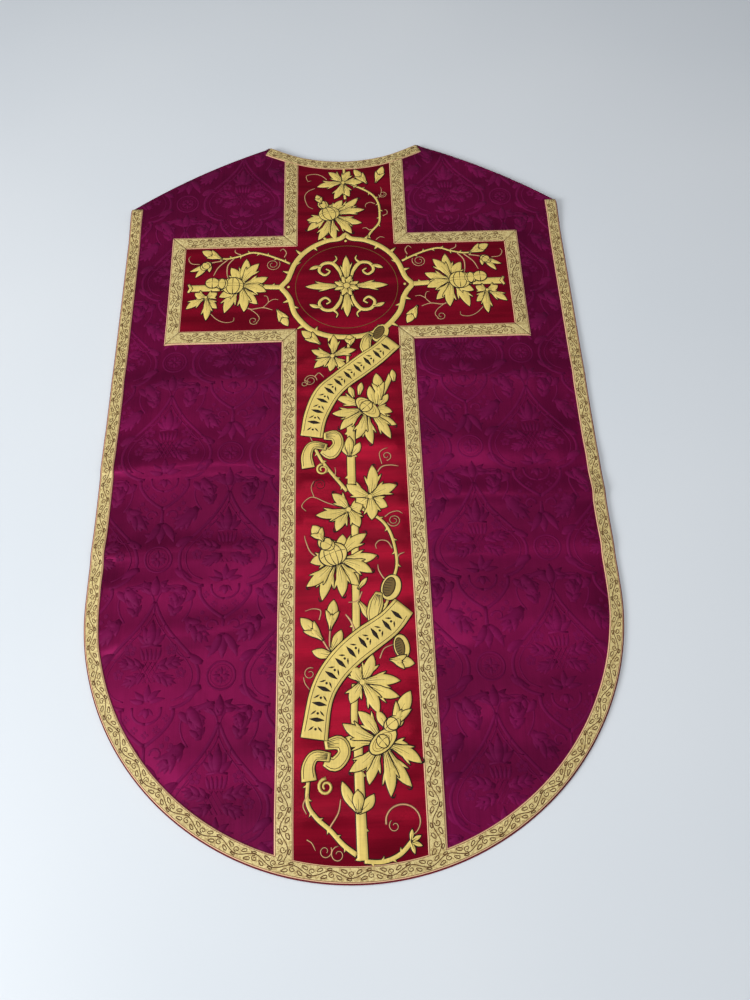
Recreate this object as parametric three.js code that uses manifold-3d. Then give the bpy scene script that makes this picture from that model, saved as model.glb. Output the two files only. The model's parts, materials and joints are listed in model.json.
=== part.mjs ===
// A Roman chasuble lying flat on its front, with the back panel on top and the neck towards +Y.
// Millimetres, +Z up, origin at the middle of the underside. X runs across, Y along the garment.
//
// Each panel is a stack of flat cloth layers. The two panels meet at the slanted shoulder seams.
// The back panel is cut at two fold lines and the front panel at one, where the cloth hinges.
import * as THREE from "three";
import { mergeVertices } from "three/addons/utils/BufferGeometryUtils.js";
import Module from "manifold-3d";

// Back panel outline
const LENGTH = 1137; // neck tips to the bottom of the hem
const HALF_WIDTH = 352; // centre line to the side edge
const NECK_HALF = 127; // centre line to a neck tip
const NECK_DROP = 34; // depth of the back neck curve
const SHOULDER_DROP = 132.5; // neck tip down to the shoulder tip
const SHOULDER_BULGE = 9; // how far the shoulder line bows outwards
const HEM_RISE = 342; // height of the rounded hem
const LINING_LIP = 2; // lining showing past the outer cloth at the sides and hem

// Front panel outline
const FRONT_SHORTER = 60; // front hem above the back hem
const FRONT_HEM_RISE = 300;
const FRONT_HEM_INSET = 48; // front hem narrower than the back, each side
const FRONT_CHEST_INSET = 98; // front chest narrower than the back, each side
const FRONT_CHEST_DROP = 300; // neck tips down to the narrowest place
const FRONT_NECK_DROP = 168; // depth of the front neck opening
const FRONT_NECK_HALF = 92; // half width of the opening near its foot

// Cross and pillar
const PILLAR_HALF = 100; // centre line to the outer edge of the pillar galloon
const GALLOON = 23; // width of the galloon round the cross
const ARM_DROP = 195; // neck tips down to the upper edge of the arms
const ARM_HEIGHT = 205.5; // over both galloons
const ARM_MARGIN = 74; // side edge of the garment to the end of an arm
const EDGE_GALLOON = 18; // width showing at the sides, hem and neck
const SEAM_WIDTH = 3; // cloth turned over along each shoulder

// Fold lines, parallel to X
const LIFT_BELOW_SHOULDER = 8; // shoulder tips down to the fold the back panel lifts about
const FOLD_RISE = 402.5; // bottom of the hem up to the fold across both panels

// Thickness of each layer and the clearance between neighbours
const TRIM = 1.2;
const DAMASK = 0.8;
const INTERLINING = 1;
const LINING = 0.6;
const GAP = 0.3;

const CURVE_STEPS = 24;
const FAR = 2000; // beyond the whole garment
const PAST = 12; // how far a cutting outline runs past an edge

const TOP_Y = LENGTH / 2;
const BOTTOM_Y = -LENGTH / 2;
const SHOULDER_Y = TOP_Y - SHOULDER_DROP;
const LIFT_Y = SHOULDER_Y - LIFT_BELOW_SHOULDER;
const FOLD_Y = BOTTOM_Y + FOLD_RISE;

const MATERIALS = {
  damask: new THREE.MeshStandardMaterial({ color: 0x5a1240, roughness: 0.55, metalness: 0 }),
  interlining: new THREE.MeshStandardMaterial({ color: 0xcfc6b4, roughness: 0.9, metalness: 0 }),
  lining: new THREE.MeshStandardMaterial({ color: 0x6d0f22, roughness: 0.6, metalness: 0 }),
  orphrey: new THREE.MeshStandardMaterial({ color: 0x8c1024, roughness: 0.45, metalness: 0 }),
  galloon: new THREE.MeshStandardMaterial({ color: 0xc9a75c, roughness: 0.5, metalness: 0.2 }),
};

const wasm = await Module();
wasm.setup();

// ---- outlines: lists of points, running clockwise so that the cloth is on the right hand ----

const point = (x, y) => new THREE.Vector2(x, y);

// The path's points, without repeats.
function pointsOf(path) {
  return path.getPoints(CURVE_STEPS).filter((p, i, all) => i === 0 || p.distanceTo(all[i - 1]) > 1e-3);
}

// The same list seen in a mirror on the centre line, turned round so that it still runs clockwise.
function mirrored(points) {
  return points.map((p) => point(-p.x, p.y)).reverse();
}

// The points moved towards the cloth by distance d, or away from it where d is negative.
function offset(points, d) {
  const along = points.slice(1).map((p, i) => p.clone().sub(points[i]).normalize());
  return points.map((p, i) => {
    const before = along[Math.max(i - 1, 0)];
    const after = along[Math.min(i, along.length - 1)];
    const mean = before.clone().add(after).normalize();
    const spread = d / mean.dot(after);
    return point(p.x + mean.y * spread, p.y - mean.x * spread);
  });
}

// The open line with both ends carried straight on.
function lengthened(points) {
  const n = points.length;
  const first = points[0].clone().sub(points[1]).setLength(PAST).add(points[0]);
  const last = points[n - 1].clone().sub(points[n - 2]).setLength(PAST).add(points[n - 1]);
  return [first, ...points, last];
}

// The closed outline of a strip along a line, between two distances from it.
function strip(points, from, to) {
  const line = lengthened(points);
  return [...offset(line, from), ...offset(line, to).reverse()];
}

function shoulderLine() {
  const neck = point(NECK_HALF, TOP_Y);
  const tip = point(HALF_WIDTH, SHOULDER_Y);
  const out = point(neck.y - tip.y, tip.x - neck.x).setLength(2 * SHOULDER_BULGE);
  const bow = neck.clone().add(tip).multiplyScalar(0.5).add(out);
  const path = new THREE.Path();
  path.moveTo(neck.x, neck.y);
  path.quadraticCurveTo(bow.x, bow.y, tip.x, tip.y);
  return pointsOf(path);
}

function backNeckLine() {
  const path = new THREE.Path();
  path.moveTo(-NECK_HALF, TOP_Y);
  path.quadraticCurveTo(0, TOP_Y - 2 * NECK_DROP, NECK_HALF, TOP_Y);
  return pointsOf(path);
}

// Straight sides and a half-ellipse hem, from the right shoulder tip to the left one.
function backSideLine() {
  const hemY = BOTTOM_Y + HEM_RISE;
  const path = new THREE.Path();
  path.moveTo(HALF_WIDTH, SHOULDER_Y);
  path.lineTo(HALF_WIDTH, hemY);
  path.absellipse(0, hemY, HALF_WIDTH, HEM_RISE, 0, -Math.PI, true);
  path.lineTo(-HALF_WIDTH, SHOULDER_Y);
  return pointsOf(path);
}

// A deep opening with slanted sides and a round foot.
function frontNeckLine() {
  const footY = TOP_Y - FRONT_NECK_DROP;
  const turnY = footY + FRONT_NECK_HALF;
  const path = new THREE.Path();
  path.moveTo(-NECK_HALF, TOP_Y);
  path.lineTo(-FRONT_NECK_HALF, turnY);
  path.bezierCurveTo(-FRONT_NECK_HALF * 0.78, footY + 14, -FRONT_NECK_HALF * 0.45, footY, 0, footY);
  path.bezierCurveTo(FRONT_NECK_HALF * 0.45, footY, FRONT_NECK_HALF * 0.78, footY + 14, FRONT_NECK_HALF, turnY);
  path.lineTo(NECK_HALF, TOP_Y);
  return pointsOf(path);
}

// Sides hollowed at the chest for the arms, and a half-ellipse hem.
function frontSideLine() {
  const chestX = HALF_WIDTH - FRONT_CHEST_INSET;
  const chestY = TOP_Y - FRONT_CHEST_DROP;
  const hemX = HALF_WIDTH - FRONT_HEM_INSET;
  const hemY = BOTTOM_Y + FRONT_SHORTER + FRONT_HEM_RISE;
  const easeY = (chestY - hemY) / 2;
  const right = new THREE.Path();
  right.moveTo(HALF_WIDTH, SHOULDER_Y);
  right.bezierCurveTo(HALF_WIDTH - 30, SHOULDER_Y - 40, chestX, chestY + 90, chestX, chestY);
  right.bezierCurveTo(chestX, chestY - easeY, hemX, hemY + easeY, hemX, hemY);
  const hem = new THREE.Path();
  hem.absellipse(0, hemY, hemX, FRONT_HEM_RISE, 0, -Math.PI, true);
  const side = pointsOf(right);
  return [...side, ...pointsOf(hem).slice(1, -1), ...mirrored(side)];
}

// The closed outline of a panel whose sides and hem are taken in by a given amount.
function panelOutline(neckLine, sideLine, takenIn) {
  const shoulder = shoulderLine().slice(1, -1);
  return [...neckLine, ...shoulder, ...offset(sideLine, takenIn), ...mirrored(shoulder)];
}

function crossOutline(pillarHalf, armReach, armTop, armBottom) {
  const right = [
    point(pillarHalf, TOP_Y + PAST), point(pillarHalf, armTop), point(armReach, armTop),
    point(armReach, armBottom), point(pillarHalf, armBottom), point(pillarHalf, BOTTOM_Y - PAST),
  ];
  return [...right, ...mirrored(right)];
}

function boxOutline(x0, x1, y0, y1) {
  return [point(x0, y1), point(x1, y1), point(x1, y0), point(x0, y0)];
}

// ---- solids ----

function solidOf(geometry) {
  geometry.deleteAttribute("normal");
  geometry.deleteAttribute("uv");
  const merged = mergeVertices(geometry, 1e-4);
  const vertProperties = new Float32Array(merged.attributes.position.array);
  const triVerts = new Uint32Array(merged.index.array);
  return new wasm.Manifold(new wasm.Mesh({ numProp: 3, vertProperties, triVerts }));
}

// An outline raised into a slab from height z.
function slab(outline, z, thickness) {
  const geometry = new THREE.ExtrudeGeometry(new THREE.Shape(outline), {
    depth: thickness,
    bevelEnabled: false,
  });
  geometry.translate(0, 0, z);
  return solidOf(geometry);
}

// An outline raised far above and below the garment, for cutting with.
const column = (outline) => slab(outline, -FAR / 2, FAR);

const across = (y0, y1) => column(boxOutline(-FAR, FAR, y0, y1));
const leftSide = column(boxOutline(-FAR, 0, -FAR, FAR));
const rightSide = column(boxOutline(0, FAR, -FAR, FAR));

function mesh(name, solid, slot) {
  const { vertProperties, triVerts } = solid.getMesh();
  const geometry = new THREE.BufferGeometry();
  geometry.setAttribute("position", new THREE.BufferAttribute(vertProperties, 3));
  geometry.setIndex(new THREE.BufferAttribute(triVerts, 1));
  geometry.computeVertexNormals();
  const made = new THREE.Mesh(geometry, MATERIALS[slot]);
  made.name = name;
  return made;
}

// ---- the two panels ----

// Heights of the layers' undersides, from the table up.
const frontStack = { trim: 0 };
frontStack.damask = frontStack.trim + TRIM + GAP;
frontStack.interlining = frontStack.damask + DAMASK + GAP;
frontStack.lining = frontStack.interlining + INTERLINING + GAP;
const backStack = { lining: frontStack.lining + LINING + GAP };
backStack.interlining = backStack.lining + LINING + GAP;
backStack.damask = backStack.interlining + INTERLINING + GAP;
backStack.trim = backStack.damask + DAMASK + GAP;

const backNeck = backNeckLine();
const backSide = backSideLine();
const frontNeck = frontNeckLine();
const frontSide = frontSideLine();

// The room that the shoulder seams take from every layer.
const seamRoom = [shoulderLine(), mirrored(shoulderLine())]
  .map((line) => column(strip(line, -FAR / 4, SEAM_WIDTH + GAP)))
  .reduce((a, b) => a.add(b));

// Everything that one panel's trims are cut from, as tall columns.
function trimsOf(neckLine, sideLine, cross, opening) {
  const cloth = column(panelOutline(neckLine, sideLine, LINING_LIP)).subtract(seamRoom);
  const edge = LINING_LIP + EDGE_GALLOON;
  const field = cloth
    .subtract(column(strip(sideLine, -PAST, edge + GAP)))
    .subtract(column(strip(neckLine, -PAST, EDGE_GALLOON + GAP)));
  const galloon = column(cross).subtract(column(opening));
  return {
    edgeGalloon: cloth.intersect(column(strip(sideLine, -PAST, edge))),
    neckGalloon: cloth.intersect(column(strip(neckLine, -PAST, EDGE_GALLOON))),
    galloonLeft: field.intersect(galloon).intersect(leftSide),
    galloonRight: field.intersect(galloon).intersect(rightSide),
    field,
  };
}

// The lining, interlining and damask of a panel.
function layersOf(neckLine, sideLine, stack) {
  const cloth = column(panelOutline(neckLine, sideLine, LINING_LIP)).subtract(seamRoom);
  const wide = column(panelOutline(neckLine, sideLine, 0)).subtract(seamRoom);
  const level = (z, thickness) => slab(boxOutline(-FAR, FAR, -FAR, FAR), z, thickness);
  return {
    lining: wide.intersect(level(stack.lining, LINING)),
    interlining: cloth.intersect(level(stack.interlining, INTERLINING)),
    damask: cloth.intersect(level(stack.damask, DAMASK)),
    trimLevel: level(stack.trim, TRIM),
  };
}

// The three cloth layers within one zone of a panel.
function clothMeshes(layers, zone, prefix, suffix) {
  return ["damask", "interlining", "lining"].map((slot) =>
    mesh(`${prefix}_${slot}${suffix}`, layers[slot].intersect(zone), slot));
}

function backGroups() {
  const armTop = TOP_Y - ARM_DROP;
  const armBottom = armTop - ARM_HEIGHT;
  const armReach = HALF_WIDTH - ARM_MARGIN;
  const bandHalf = PILLAR_HALF - GALLOON;
  const cross = crossOutline(PILLAR_HALF, armReach, armTop, armBottom);
  const opening = crossOutline(bandHalf, armReach - GALLOON, armTop - GALLOON, armBottom + GALLOON);
  const trims = trimsOf(backNeck, backSide, cross, opening);
  const layers = layersOf(backNeck, backSide, backStack);
  const pillar = trims.field.intersect(column(boxOutline(-bandHalf + GAP, bandHalf - GAP, -FAR, FAR)));
  const armX0 = bandHalf;
  const armX1 = armReach - GALLOON - GAP;
  const armY0 = armBottom + GALLOON + GAP;
  const armY1 = armTop - GALLOON - GAP;
  const armRight = column(boxOutline(armX0, armX1, armY0, armY1));
  const armLeft = column(boxOutline(-armX1, -armX0, armY0, armY1));
  const trim = (name, solid, zone, slot) => mesh(name, solid.intersect(zone).intersect(layers.trimLevel), slot);

  const yokeZone = across(LIFT_Y + GAP / 2, FAR);
  const yoke = new THREE.Group();
  yoke.add(
    ...clothMeshes(layers, yokeZone, "back", "_yoke"),
    trim("back_orphrey_yoke", pillar, yokeZone, "orphrey"),
    trim("back_galloon_left_yoke", trims.galloonLeft, yokeZone, "galloon"),
    trim("back_galloon_right_yoke", trims.galloonRight, yokeZone, "galloon"),
    trim("back_neck_galloon", trims.neckGalloon, yokeZone, "galloon"),
  );

  const panelZone = across(FOLD_Y + GAP / 2, LIFT_Y - GAP / 2);
  const panel = new THREE.Group();
  panel.add(
    ...clothMeshes(layers, panelZone, "back", "_panel"),
    trim("back_orphrey_pillar", pillar, panelZone, "orphrey"),
    trim("back_orphrey_arm_left", armLeft, panelZone, "orphrey"),
    trim("back_orphrey_arm_right", armRight, panelZone, "orphrey"),
    trim("back_cross_galloon_left", trims.galloonLeft, panelZone, "galloon"),
    trim("back_cross_galloon_right", trims.galloonRight, panelZone, "galloon"),
    trim("back_edge_galloon_left", trims.edgeGalloon.intersect(leftSide), panelZone, "galloon"),
    trim("back_edge_galloon_right", trims.edgeGalloon.intersect(rightSide), panelZone, "galloon"),
  );

  const hemZone = across(-FAR, FOLD_Y - GAP / 2);
  const hem = new THREE.Group();
  hem.add(
    ...clothMeshes(layers, hemZone, "back", "_hem"),
    trim("back_orphrey_hem", pillar, hemZone, "orphrey"),
    trim("back_galloon_left_hem", trims.galloonLeft, hemZone, "galloon"),
    trim("back_galloon_right_hem", trims.galloonRight, hemZone, "galloon"),
    trim("back_edge_galloon_hem", trims.edgeGalloon, hemZone, "galloon"),
  );
  return { yoke, panel, hem };
}

function frontGroups() {
  const bandHalf = PILLAR_HALF - GALLOON;
  const pillarBox = boxOutline(-PILLAR_HALF, PILLAR_HALF, BOTTOM_Y - PAST, TOP_Y + PAST);
  const openingBox = boxOutline(-bandHalf, bandHalf, BOTTOM_Y - PAST, TOP_Y + PAST);
  const trims = trimsOf(frontNeck, frontSide, pillarBox, openingBox);
  const layers = layersOf(frontNeck, frontSide, frontStack);
  const belowNeck = across(-FAR, TOP_Y - NECK_DROP);
  const pillar = trims.field
    .intersect(column(boxOutline(-bandHalf + GAP, bandHalf - GAP, -FAR, FAR)))
    .intersect(belowNeck);
  const trim = (name, solid, zone, slot) => mesh(name, solid.intersect(zone).intersect(layers.trimLevel), slot);

  const panelZone = across(FOLD_Y + GAP / 2, FAR);
  const panel = new THREE.Group();
  panel.add(
    ...clothMeshes(layers, panelZone, "front", "_panel"),
    trim("front_orphrey_panel", pillar, panelZone, "orphrey"),
    trim("front_galloon_left_panel", trims.galloonLeft, panelZone, "galloon"),
    trim("front_galloon_right_panel", trims.galloonRight, panelZone, "galloon"),
    trim("front_edge_galloon_left", trims.edgeGalloon.intersect(leftSide), panelZone, "galloon"),
    trim("front_edge_galloon_right", trims.edgeGalloon.intersect(rightSide), panelZone, "galloon"),
    trim("front_neck_galloon", trims.neckGalloon, panelZone, "galloon"),
  );

  const hemZone = across(-FAR, FOLD_Y - GAP / 2);
  const hem = new THREE.Group();
  hem.add(
    ...clothMeshes(layers, hemZone, "front", "_hem"),
    trim("front_orphrey_hem", pillar, hemZone, "orphrey"),
    trim("front_galloon_left_hem", trims.galloonLeft, hemZone, "galloon"),
    trim("front_galloon_right_hem", trims.galloonRight, hemZone, "galloon"),
    trim("front_edge_galloon_hem", trims.edgeGalloon, hemZone, "galloon"),
  );
  return { panel, hem };
}

// The turned-over cloth that joins the two panels along a shoulder.
function shoulderSeams() {
  const z0 = frontStack.damask;
  const z1 = backStack.damask + DAMASK;
  const outline = column(panelOutline(backNeck, backSide, 0));
  const seam = (name, line) =>
    mesh(name, slab(strip(line, -PAST, SEAM_WIDTH), z0, z1 - z0).intersect(outline), "damask");
  return [seam("shoulder_seam_left", mirrored(shoulderLine())), seam("shoulder_seam_right", shoulderLine())];
}

const back = backGroups();
const front = frontGroups();
const chasuble = new THREE.Group();
front.panel.add(...shoulderSeams());
chasuble.add(front.panel, front.hem, back.yoke, back.panel, back.hem);

export default chasuble;
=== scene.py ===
"""A Roman chasuble lying on its front on a pale table, with its back panel and embroidered cross on top.

Lengths are in millimetres in the row frame (X right, Y towards the neck, Z up) until a mesh is made.
Every layer of cloth follows one height field, so that the layers drape, ripple and crease together.
"""

import json
import math

import bpy
import numpy as np
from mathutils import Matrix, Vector
from mathutils.geometry import delaunay_2d_cdt


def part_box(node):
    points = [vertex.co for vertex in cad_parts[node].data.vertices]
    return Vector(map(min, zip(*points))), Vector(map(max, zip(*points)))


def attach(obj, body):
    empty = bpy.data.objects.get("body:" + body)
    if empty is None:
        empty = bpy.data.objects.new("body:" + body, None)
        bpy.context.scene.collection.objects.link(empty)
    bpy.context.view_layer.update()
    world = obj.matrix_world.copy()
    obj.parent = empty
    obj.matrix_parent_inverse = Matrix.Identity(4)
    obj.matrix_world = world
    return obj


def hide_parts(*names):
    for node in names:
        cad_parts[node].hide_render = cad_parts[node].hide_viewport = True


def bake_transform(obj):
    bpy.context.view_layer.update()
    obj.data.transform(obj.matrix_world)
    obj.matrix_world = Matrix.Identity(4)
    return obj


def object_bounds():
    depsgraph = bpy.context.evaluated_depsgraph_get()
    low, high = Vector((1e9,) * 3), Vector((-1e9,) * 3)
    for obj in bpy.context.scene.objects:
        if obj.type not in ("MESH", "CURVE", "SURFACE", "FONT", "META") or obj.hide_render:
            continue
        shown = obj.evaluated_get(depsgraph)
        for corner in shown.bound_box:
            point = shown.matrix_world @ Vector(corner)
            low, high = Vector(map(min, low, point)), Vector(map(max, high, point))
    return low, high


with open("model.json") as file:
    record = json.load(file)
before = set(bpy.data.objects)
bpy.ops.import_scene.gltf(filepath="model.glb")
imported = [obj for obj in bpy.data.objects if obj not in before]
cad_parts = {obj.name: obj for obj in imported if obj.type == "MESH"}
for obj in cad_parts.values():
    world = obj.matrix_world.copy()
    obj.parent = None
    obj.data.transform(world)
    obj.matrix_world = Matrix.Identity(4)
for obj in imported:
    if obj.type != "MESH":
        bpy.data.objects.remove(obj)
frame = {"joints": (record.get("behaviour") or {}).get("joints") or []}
CAD_LOW, CAD_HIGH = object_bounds()

MM = 0.001
PI = math.pi

# ---- sizes, from the frame where it states them ----


def limits(node):
    """The lowest and highest corner of a CAD node, in mm."""
    low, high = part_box(node)
    return np.array(low) / MM, np.array(high) / MM


HINGE = {j["name"]: np.array(j["pos_m"]) / MM for j in frame["joints"]}
LIFT_Y = float(HINGE["back_lift"][1])
FOLD_Y = float(HINGE["back_fold"][1])
BEND = 55.0  # length of cloth that turns at a fold
SPLIT_Y = (LIFT_Y + FOLD_Y) / 2  # where the pieces of the upper and the lower bend meet

HALF_WIDTH = float(limits("back_lining_panel")[1][0])
TOP_Y = float(CAD_HIGH[1]) / MM
BOTTOM_Y = float(CAD_LOW[1]) / MM
LIP = 2.0  # lining showing past the outer cloth
NECK_HALF = 127.0
NECK_DROP = 34.0
SHOULDER_Y = TOP_Y - 132.5
SHOULDER_BULGE = 9.0
HEM_RISE = 342.0
EDGE_GALLOON = 18.0
GALLOON = 23.0
PILLAR_HALF = 100.0
BAND_HALF = PILLAR_HALF - GALLOON
BRAID_X = (BAND_HALF + PILLAR_HALF) / 2  # middle of the pillar's galloon
ARM_TOP = TOP_Y - 195.0
ARM_BOTTOM = ARM_TOP - 205.5
ARM_REACH = HALF_WIDTH - 74.0

FRONT_NECK_HALF = 92.0
FRONT_NECK_FOOT = TOP_Y - 168.0
CHEST = (HALF_WIDTH - 98.0, TOP_Y - 300.0)
FRONT_HEM = (HALF_WIDTH - 48.0, BOTTOM_Y + 360.0, 300.0)  # half width, centre, rise

Z = {}
for part in ("front", "back"):
    for layer in ("lining", "interlining", "damask"):
        box = limits(f"{part}_{layer}_panel")
        Z[part, layer] = (float(box[0][2]), float(box[1][2]))
    box = limits(f"{part}_edge_galloon_left")
    Z[part, "trim"] = (float(box[0][2]), float(box[1][2]))

# ---- the camera, at the photograph's angle ----

SENSOR = 36.0
LENS = 27.04
CAMERA_AT = (15.4, -503.1, 957.5)
CAMERA_TURN = (23.216, -0.105, -2.012)  # degrees about X, Y and Z


def make_camera():
    data = bpy.data.cameras.new("camera")
    data.sensor_width = SENSOR
    data.lens = LENS
    data.clip_end = 50
    camera = bpy.data.objects.new("camera", data)
    camera.location = Vector(CAMERA_AT) * MM
    camera.rotation_euler = [math.radians(a) for a in CAMERA_TURN]
    bpy.context.scene.collection.objects.link(camera)
    bpy.context.scene.camera = camera


make_camera()
bpy.context.scene.view_settings.view_transform = "Standard"  # so that srgb() colours show as given

# ---- lines in the plane, as arrays of points running clockwise, with the cloth on the right ----


def bezier(*controls, steps=24):
    """Points along the Bezier curve of any degree."""
    t = np.linspace(0, 1, steps + 1)[:, None]
    points = [np.array(c, float) for c in controls]
    layers = [np.repeat(p[None], steps + 1, 0) for p in points]
    while len(layers) > 1:
        layers = [a * (1 - t) + b * t for a, b in zip(layers, layers[1:])]
    return layers[0]


def ellipse_arc(centre, radii, start, end, steps=24):
    a = np.radians(np.linspace(start, end, steps + 1))
    return np.c_[centre[0] + radii[0] * np.cos(a), centre[1] + radii[1] * np.sin(a)]


def joined(*lines):
    """The lines end to end, without repeated points."""
    every = np.vstack(lines)
    step = np.linalg.norm(np.diff(every, axis=0), axis=1)
    return every[np.r_[True, step > 1e-3]]


def mirrored(line):
    return (np.array(line) * (-1, 1))[::-1]


def unit(v):
    return v / np.maximum(np.linalg.norm(v, axis=-1, keepdims=True), 1e-9)


def inset(line, distance):
    """The open line moved towards the cloth."""
    line = np.array(line, float)
    along = unit(np.diff(line, axis=0))
    before = np.vstack([along[:1], along])
    after = np.vstack([along, along[-1:]])
    mean = unit(before + after)
    spread = distance / (mean * after).sum(1)
    return line + np.c_[mean[:, 1], -mean[:, 0]] * spread[:, None]


def lengths(line):
    """The distance along the line to each of its points."""
    return np.r_[0, np.cumsum(np.linalg.norm(np.diff(line, axis=0), axis=1))]


def resampled(line, step):
    """The line with points about that far apart."""
    line = np.array(line, float)
    at = lengths(line)
    to = np.linspace(0, at[-1], max(2, round(at[-1] / step) + 1))
    return np.c_[np.interp(to, at, line[:, 0]), np.interp(to, at, line[:, 1])]


def smooth_line(points, step=2.5):
    """A smooth line through the points."""
    p = np.array(points, float)
    if len(p) < 3:
        return resampled(p, step)
    ends = np.vstack([2 * p[0] - p[1], p, 2 * p[-1] - p[-2]])
    spans = []
    for a, b, c, d in zip(ends, ends[1:], ends[2:], ends[3:]):
        t = np.linspace(0, 1, 9)[:, None]
        spans.append(
            b + (c - a) * t / 2 + (a - 2.5 * b + 2 * c - d / 2) * t**2
            + (1.5 * (b - c) + (d - a) / 2) * t**3
        )
    return resampled(joined(*spans), step)


def shoulder_line():
    neck = np.array((NECK_HALF, TOP_Y))
    tip = np.array((HALF_WIDTH, SHOULDER_Y))
    out = unit(np.array((neck[1] - tip[1], tip[0] - neck[0])))
    return bezier(neck, (neck + tip) / 2 + out * 2 * SHOULDER_BULGE, tip)


def back_neck_line():
    return bezier((-NECK_HALF, TOP_Y), (0, TOP_Y - 2 * NECK_DROP), (NECK_HALF, TOP_Y))


def back_side_line():
    hem_y = BOTTOM_Y + HEM_RISE
    side = np.array([(HALF_WIDTH, SHOULDER_Y), (HALF_WIDTH, hem_y)])
    hem = ellipse_arc((0, hem_y), (HALF_WIDTH, HEM_RISE), 0, -180, 96)
    return joined(side, hem, mirrored(side))


def front_neck_line():
    turn = (FRONT_NECK_HALF, FRONT_NECK_FOOT + FRONT_NECK_HALF)
    foot = bezier(
        (0, FRONT_NECK_FOOT),
        (FRONT_NECK_HALF * 0.45, FRONT_NECK_FOOT),
        (FRONT_NECK_HALF * 0.78, FRONT_NECK_FOOT + 14),
        turn,
    )
    right = joined(foot, np.array([turn, (NECK_HALF, TOP_Y)]))
    return joined(mirrored(right), right)


def front_side_line():
    x, y = CHEST
    hem_x, hem_y, rise = FRONT_HEM
    ease = (y - hem_y) / 2
    right = joined(
        bezier((HALF_WIDTH, SHOULDER_Y), (HALF_WIDTH - 30, SHOULDER_Y - 40), (x, y + 90), (x, y)),
        bezier((x, y), (x, y - ease), (hem_x, hem_y + ease), (hem_x, hem_y)),
    )
    return joined(right, ellipse_arc((0, hem_y), (hem_x, rise), 0, -180, 72), mirrored(right))


def panel_outline(neck, side, taken_in, neck_in=0.0, shoulder_in=0.0):
    """The closed outline of a panel, each edge moved in by its own distance."""
    shoulder = inset(shoulder_line(), shoulder_in)[1:-1]
    return np.vstack([
        inset(neck, neck_in), shoulder, inset(side, taken_in), mirrored(shoulder)])


BACK = (back_neck_line(), back_side_line())
FRONT = (front_neck_line(), front_side_line())

# ---- distances and the height field ----


def nearest(loop, x, y):
    """For each point, its distance from the closed loop (negative inside) and the nearest point of it."""
    a = np.array(loop, float)
    b = np.roll(a, -1, 0)
    d = b - a
    p = np.c_[x, y]
    best = np.full(len(p), 1e9)
    spot = p.copy()
    inside = np.zeros(len(p), bool)
    for (ax, ay), (bx, by), (dx, dy) in zip(a, b, d):
        size = dx * dx + dy * dy
        if size < 1e-12:
            continue
        t = np.clip(((p[:, 0] - ax) * dx + (p[:, 1] - ay) * dy) / size, 0, 1)
        qx = ax + t * dx
        qy = ay + t * dy
        gap = np.hypot(p[:, 0] - qx, p[:, 1] - qy)
        closer = gap < best
        best = np.where(closer, gap, best)
        spot[closer] = np.c_[qx, qy][closer]
        if ay != by:
            crosses = (ay > p[:, 1]) != (by > p[:, 1])
            inside ^= crosses & (p[:, 0] < ax + (p[:, 1] - ay) / (by - ay) * dx)
    return np.where(inside, -best, best), spot


def eased(t):
    t = np.clip(t, 0, 1)
    return t * t * (3 - 2 * t)


# Soft folds: ends, height, reach to the lower side and to the upper side
CREASES = [
    ((-352, -34), (-110, -40), 2.6, 9, 24),
    ((-352, 8), (-150, 2), 1.2, 18, 16),
    ((-352, -160), (-120, -166), 2.2, 10, 20),
    ((-340, -205), (-180, -212), 1.3, 10, 16),
    ((-330, -290), (-105, -262), 2.0, 11, 24),
    ((110, -98), (352, -92), 3.0, 10, 22),
    ((150, -20), (352, -40), 1.2, 16, 20),
    ((105, -182), (352, -170), 1.8, 11, 22),
    ((120, -300), (330, -262), 1.6, 12, 24),
    ((110, 96), (352, 104), 1.3, 14, 20),
    ((-352, 110), (-130, 104), 1.0, 14, 20),
    ((-210, -330), (-120, -420), 1.3, 14, 20),
    ((140, -400), (250, -350), 1.4, 14, 20),
]

# Ripples of the satin down the pillar: height on the line, size, reach
RIPPLES = [
    (-18, 1.5, 15), (-72, 1.1, 12), (-100, 0.8, 9), (-128, 1.4, 14), (-168, 0.7, 10),
    (-205, 0.8, 12), (-252, 0.9, 13), (-300, 1.0, 15), (-352, 0.8, 12), (-404, 1.2, 14),
    (-452, 0.9, 12), (-500, 1.1, 12), (30, 0.9, 14), (84, 0.8, 14), (140, 0.9, 14),
    (206, 0.5, 14), (420, 0.5, 12),
]
CREASE_RISE = 2.0
RIPPLE_RISE = 1.7
RIPPLE_REACH = 0.8
DROOP = 4.4  # the back falls to the table where there is no front beneath it
FALL = 46.0  # over this width


def crease(x, y, ends, height, below, above):
    (x0, y0), (x1, y1) = ends
    run = math.hypot(x1 - x0, y1 - y0)
    u = ((x - x0) * (x1 - x0) + (y - y0) * (y1 - y0)) / run
    bow = 3 * np.sin(u / run * 2.3 * PI + x0)
    v = (y - y0) * (x1 - x0) / run - (x - x0) * (y1 - y0) / run + bow
    v = v * math.copysign(1, x1 - x0)
    reach = np.where(v < 0, below, above)
    ends_fade = eased((u + 25) / 60) * eased((run + 25 - u) / 60)
    return height * np.exp(-((v / reach) ** 2)) * ends_fade


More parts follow.
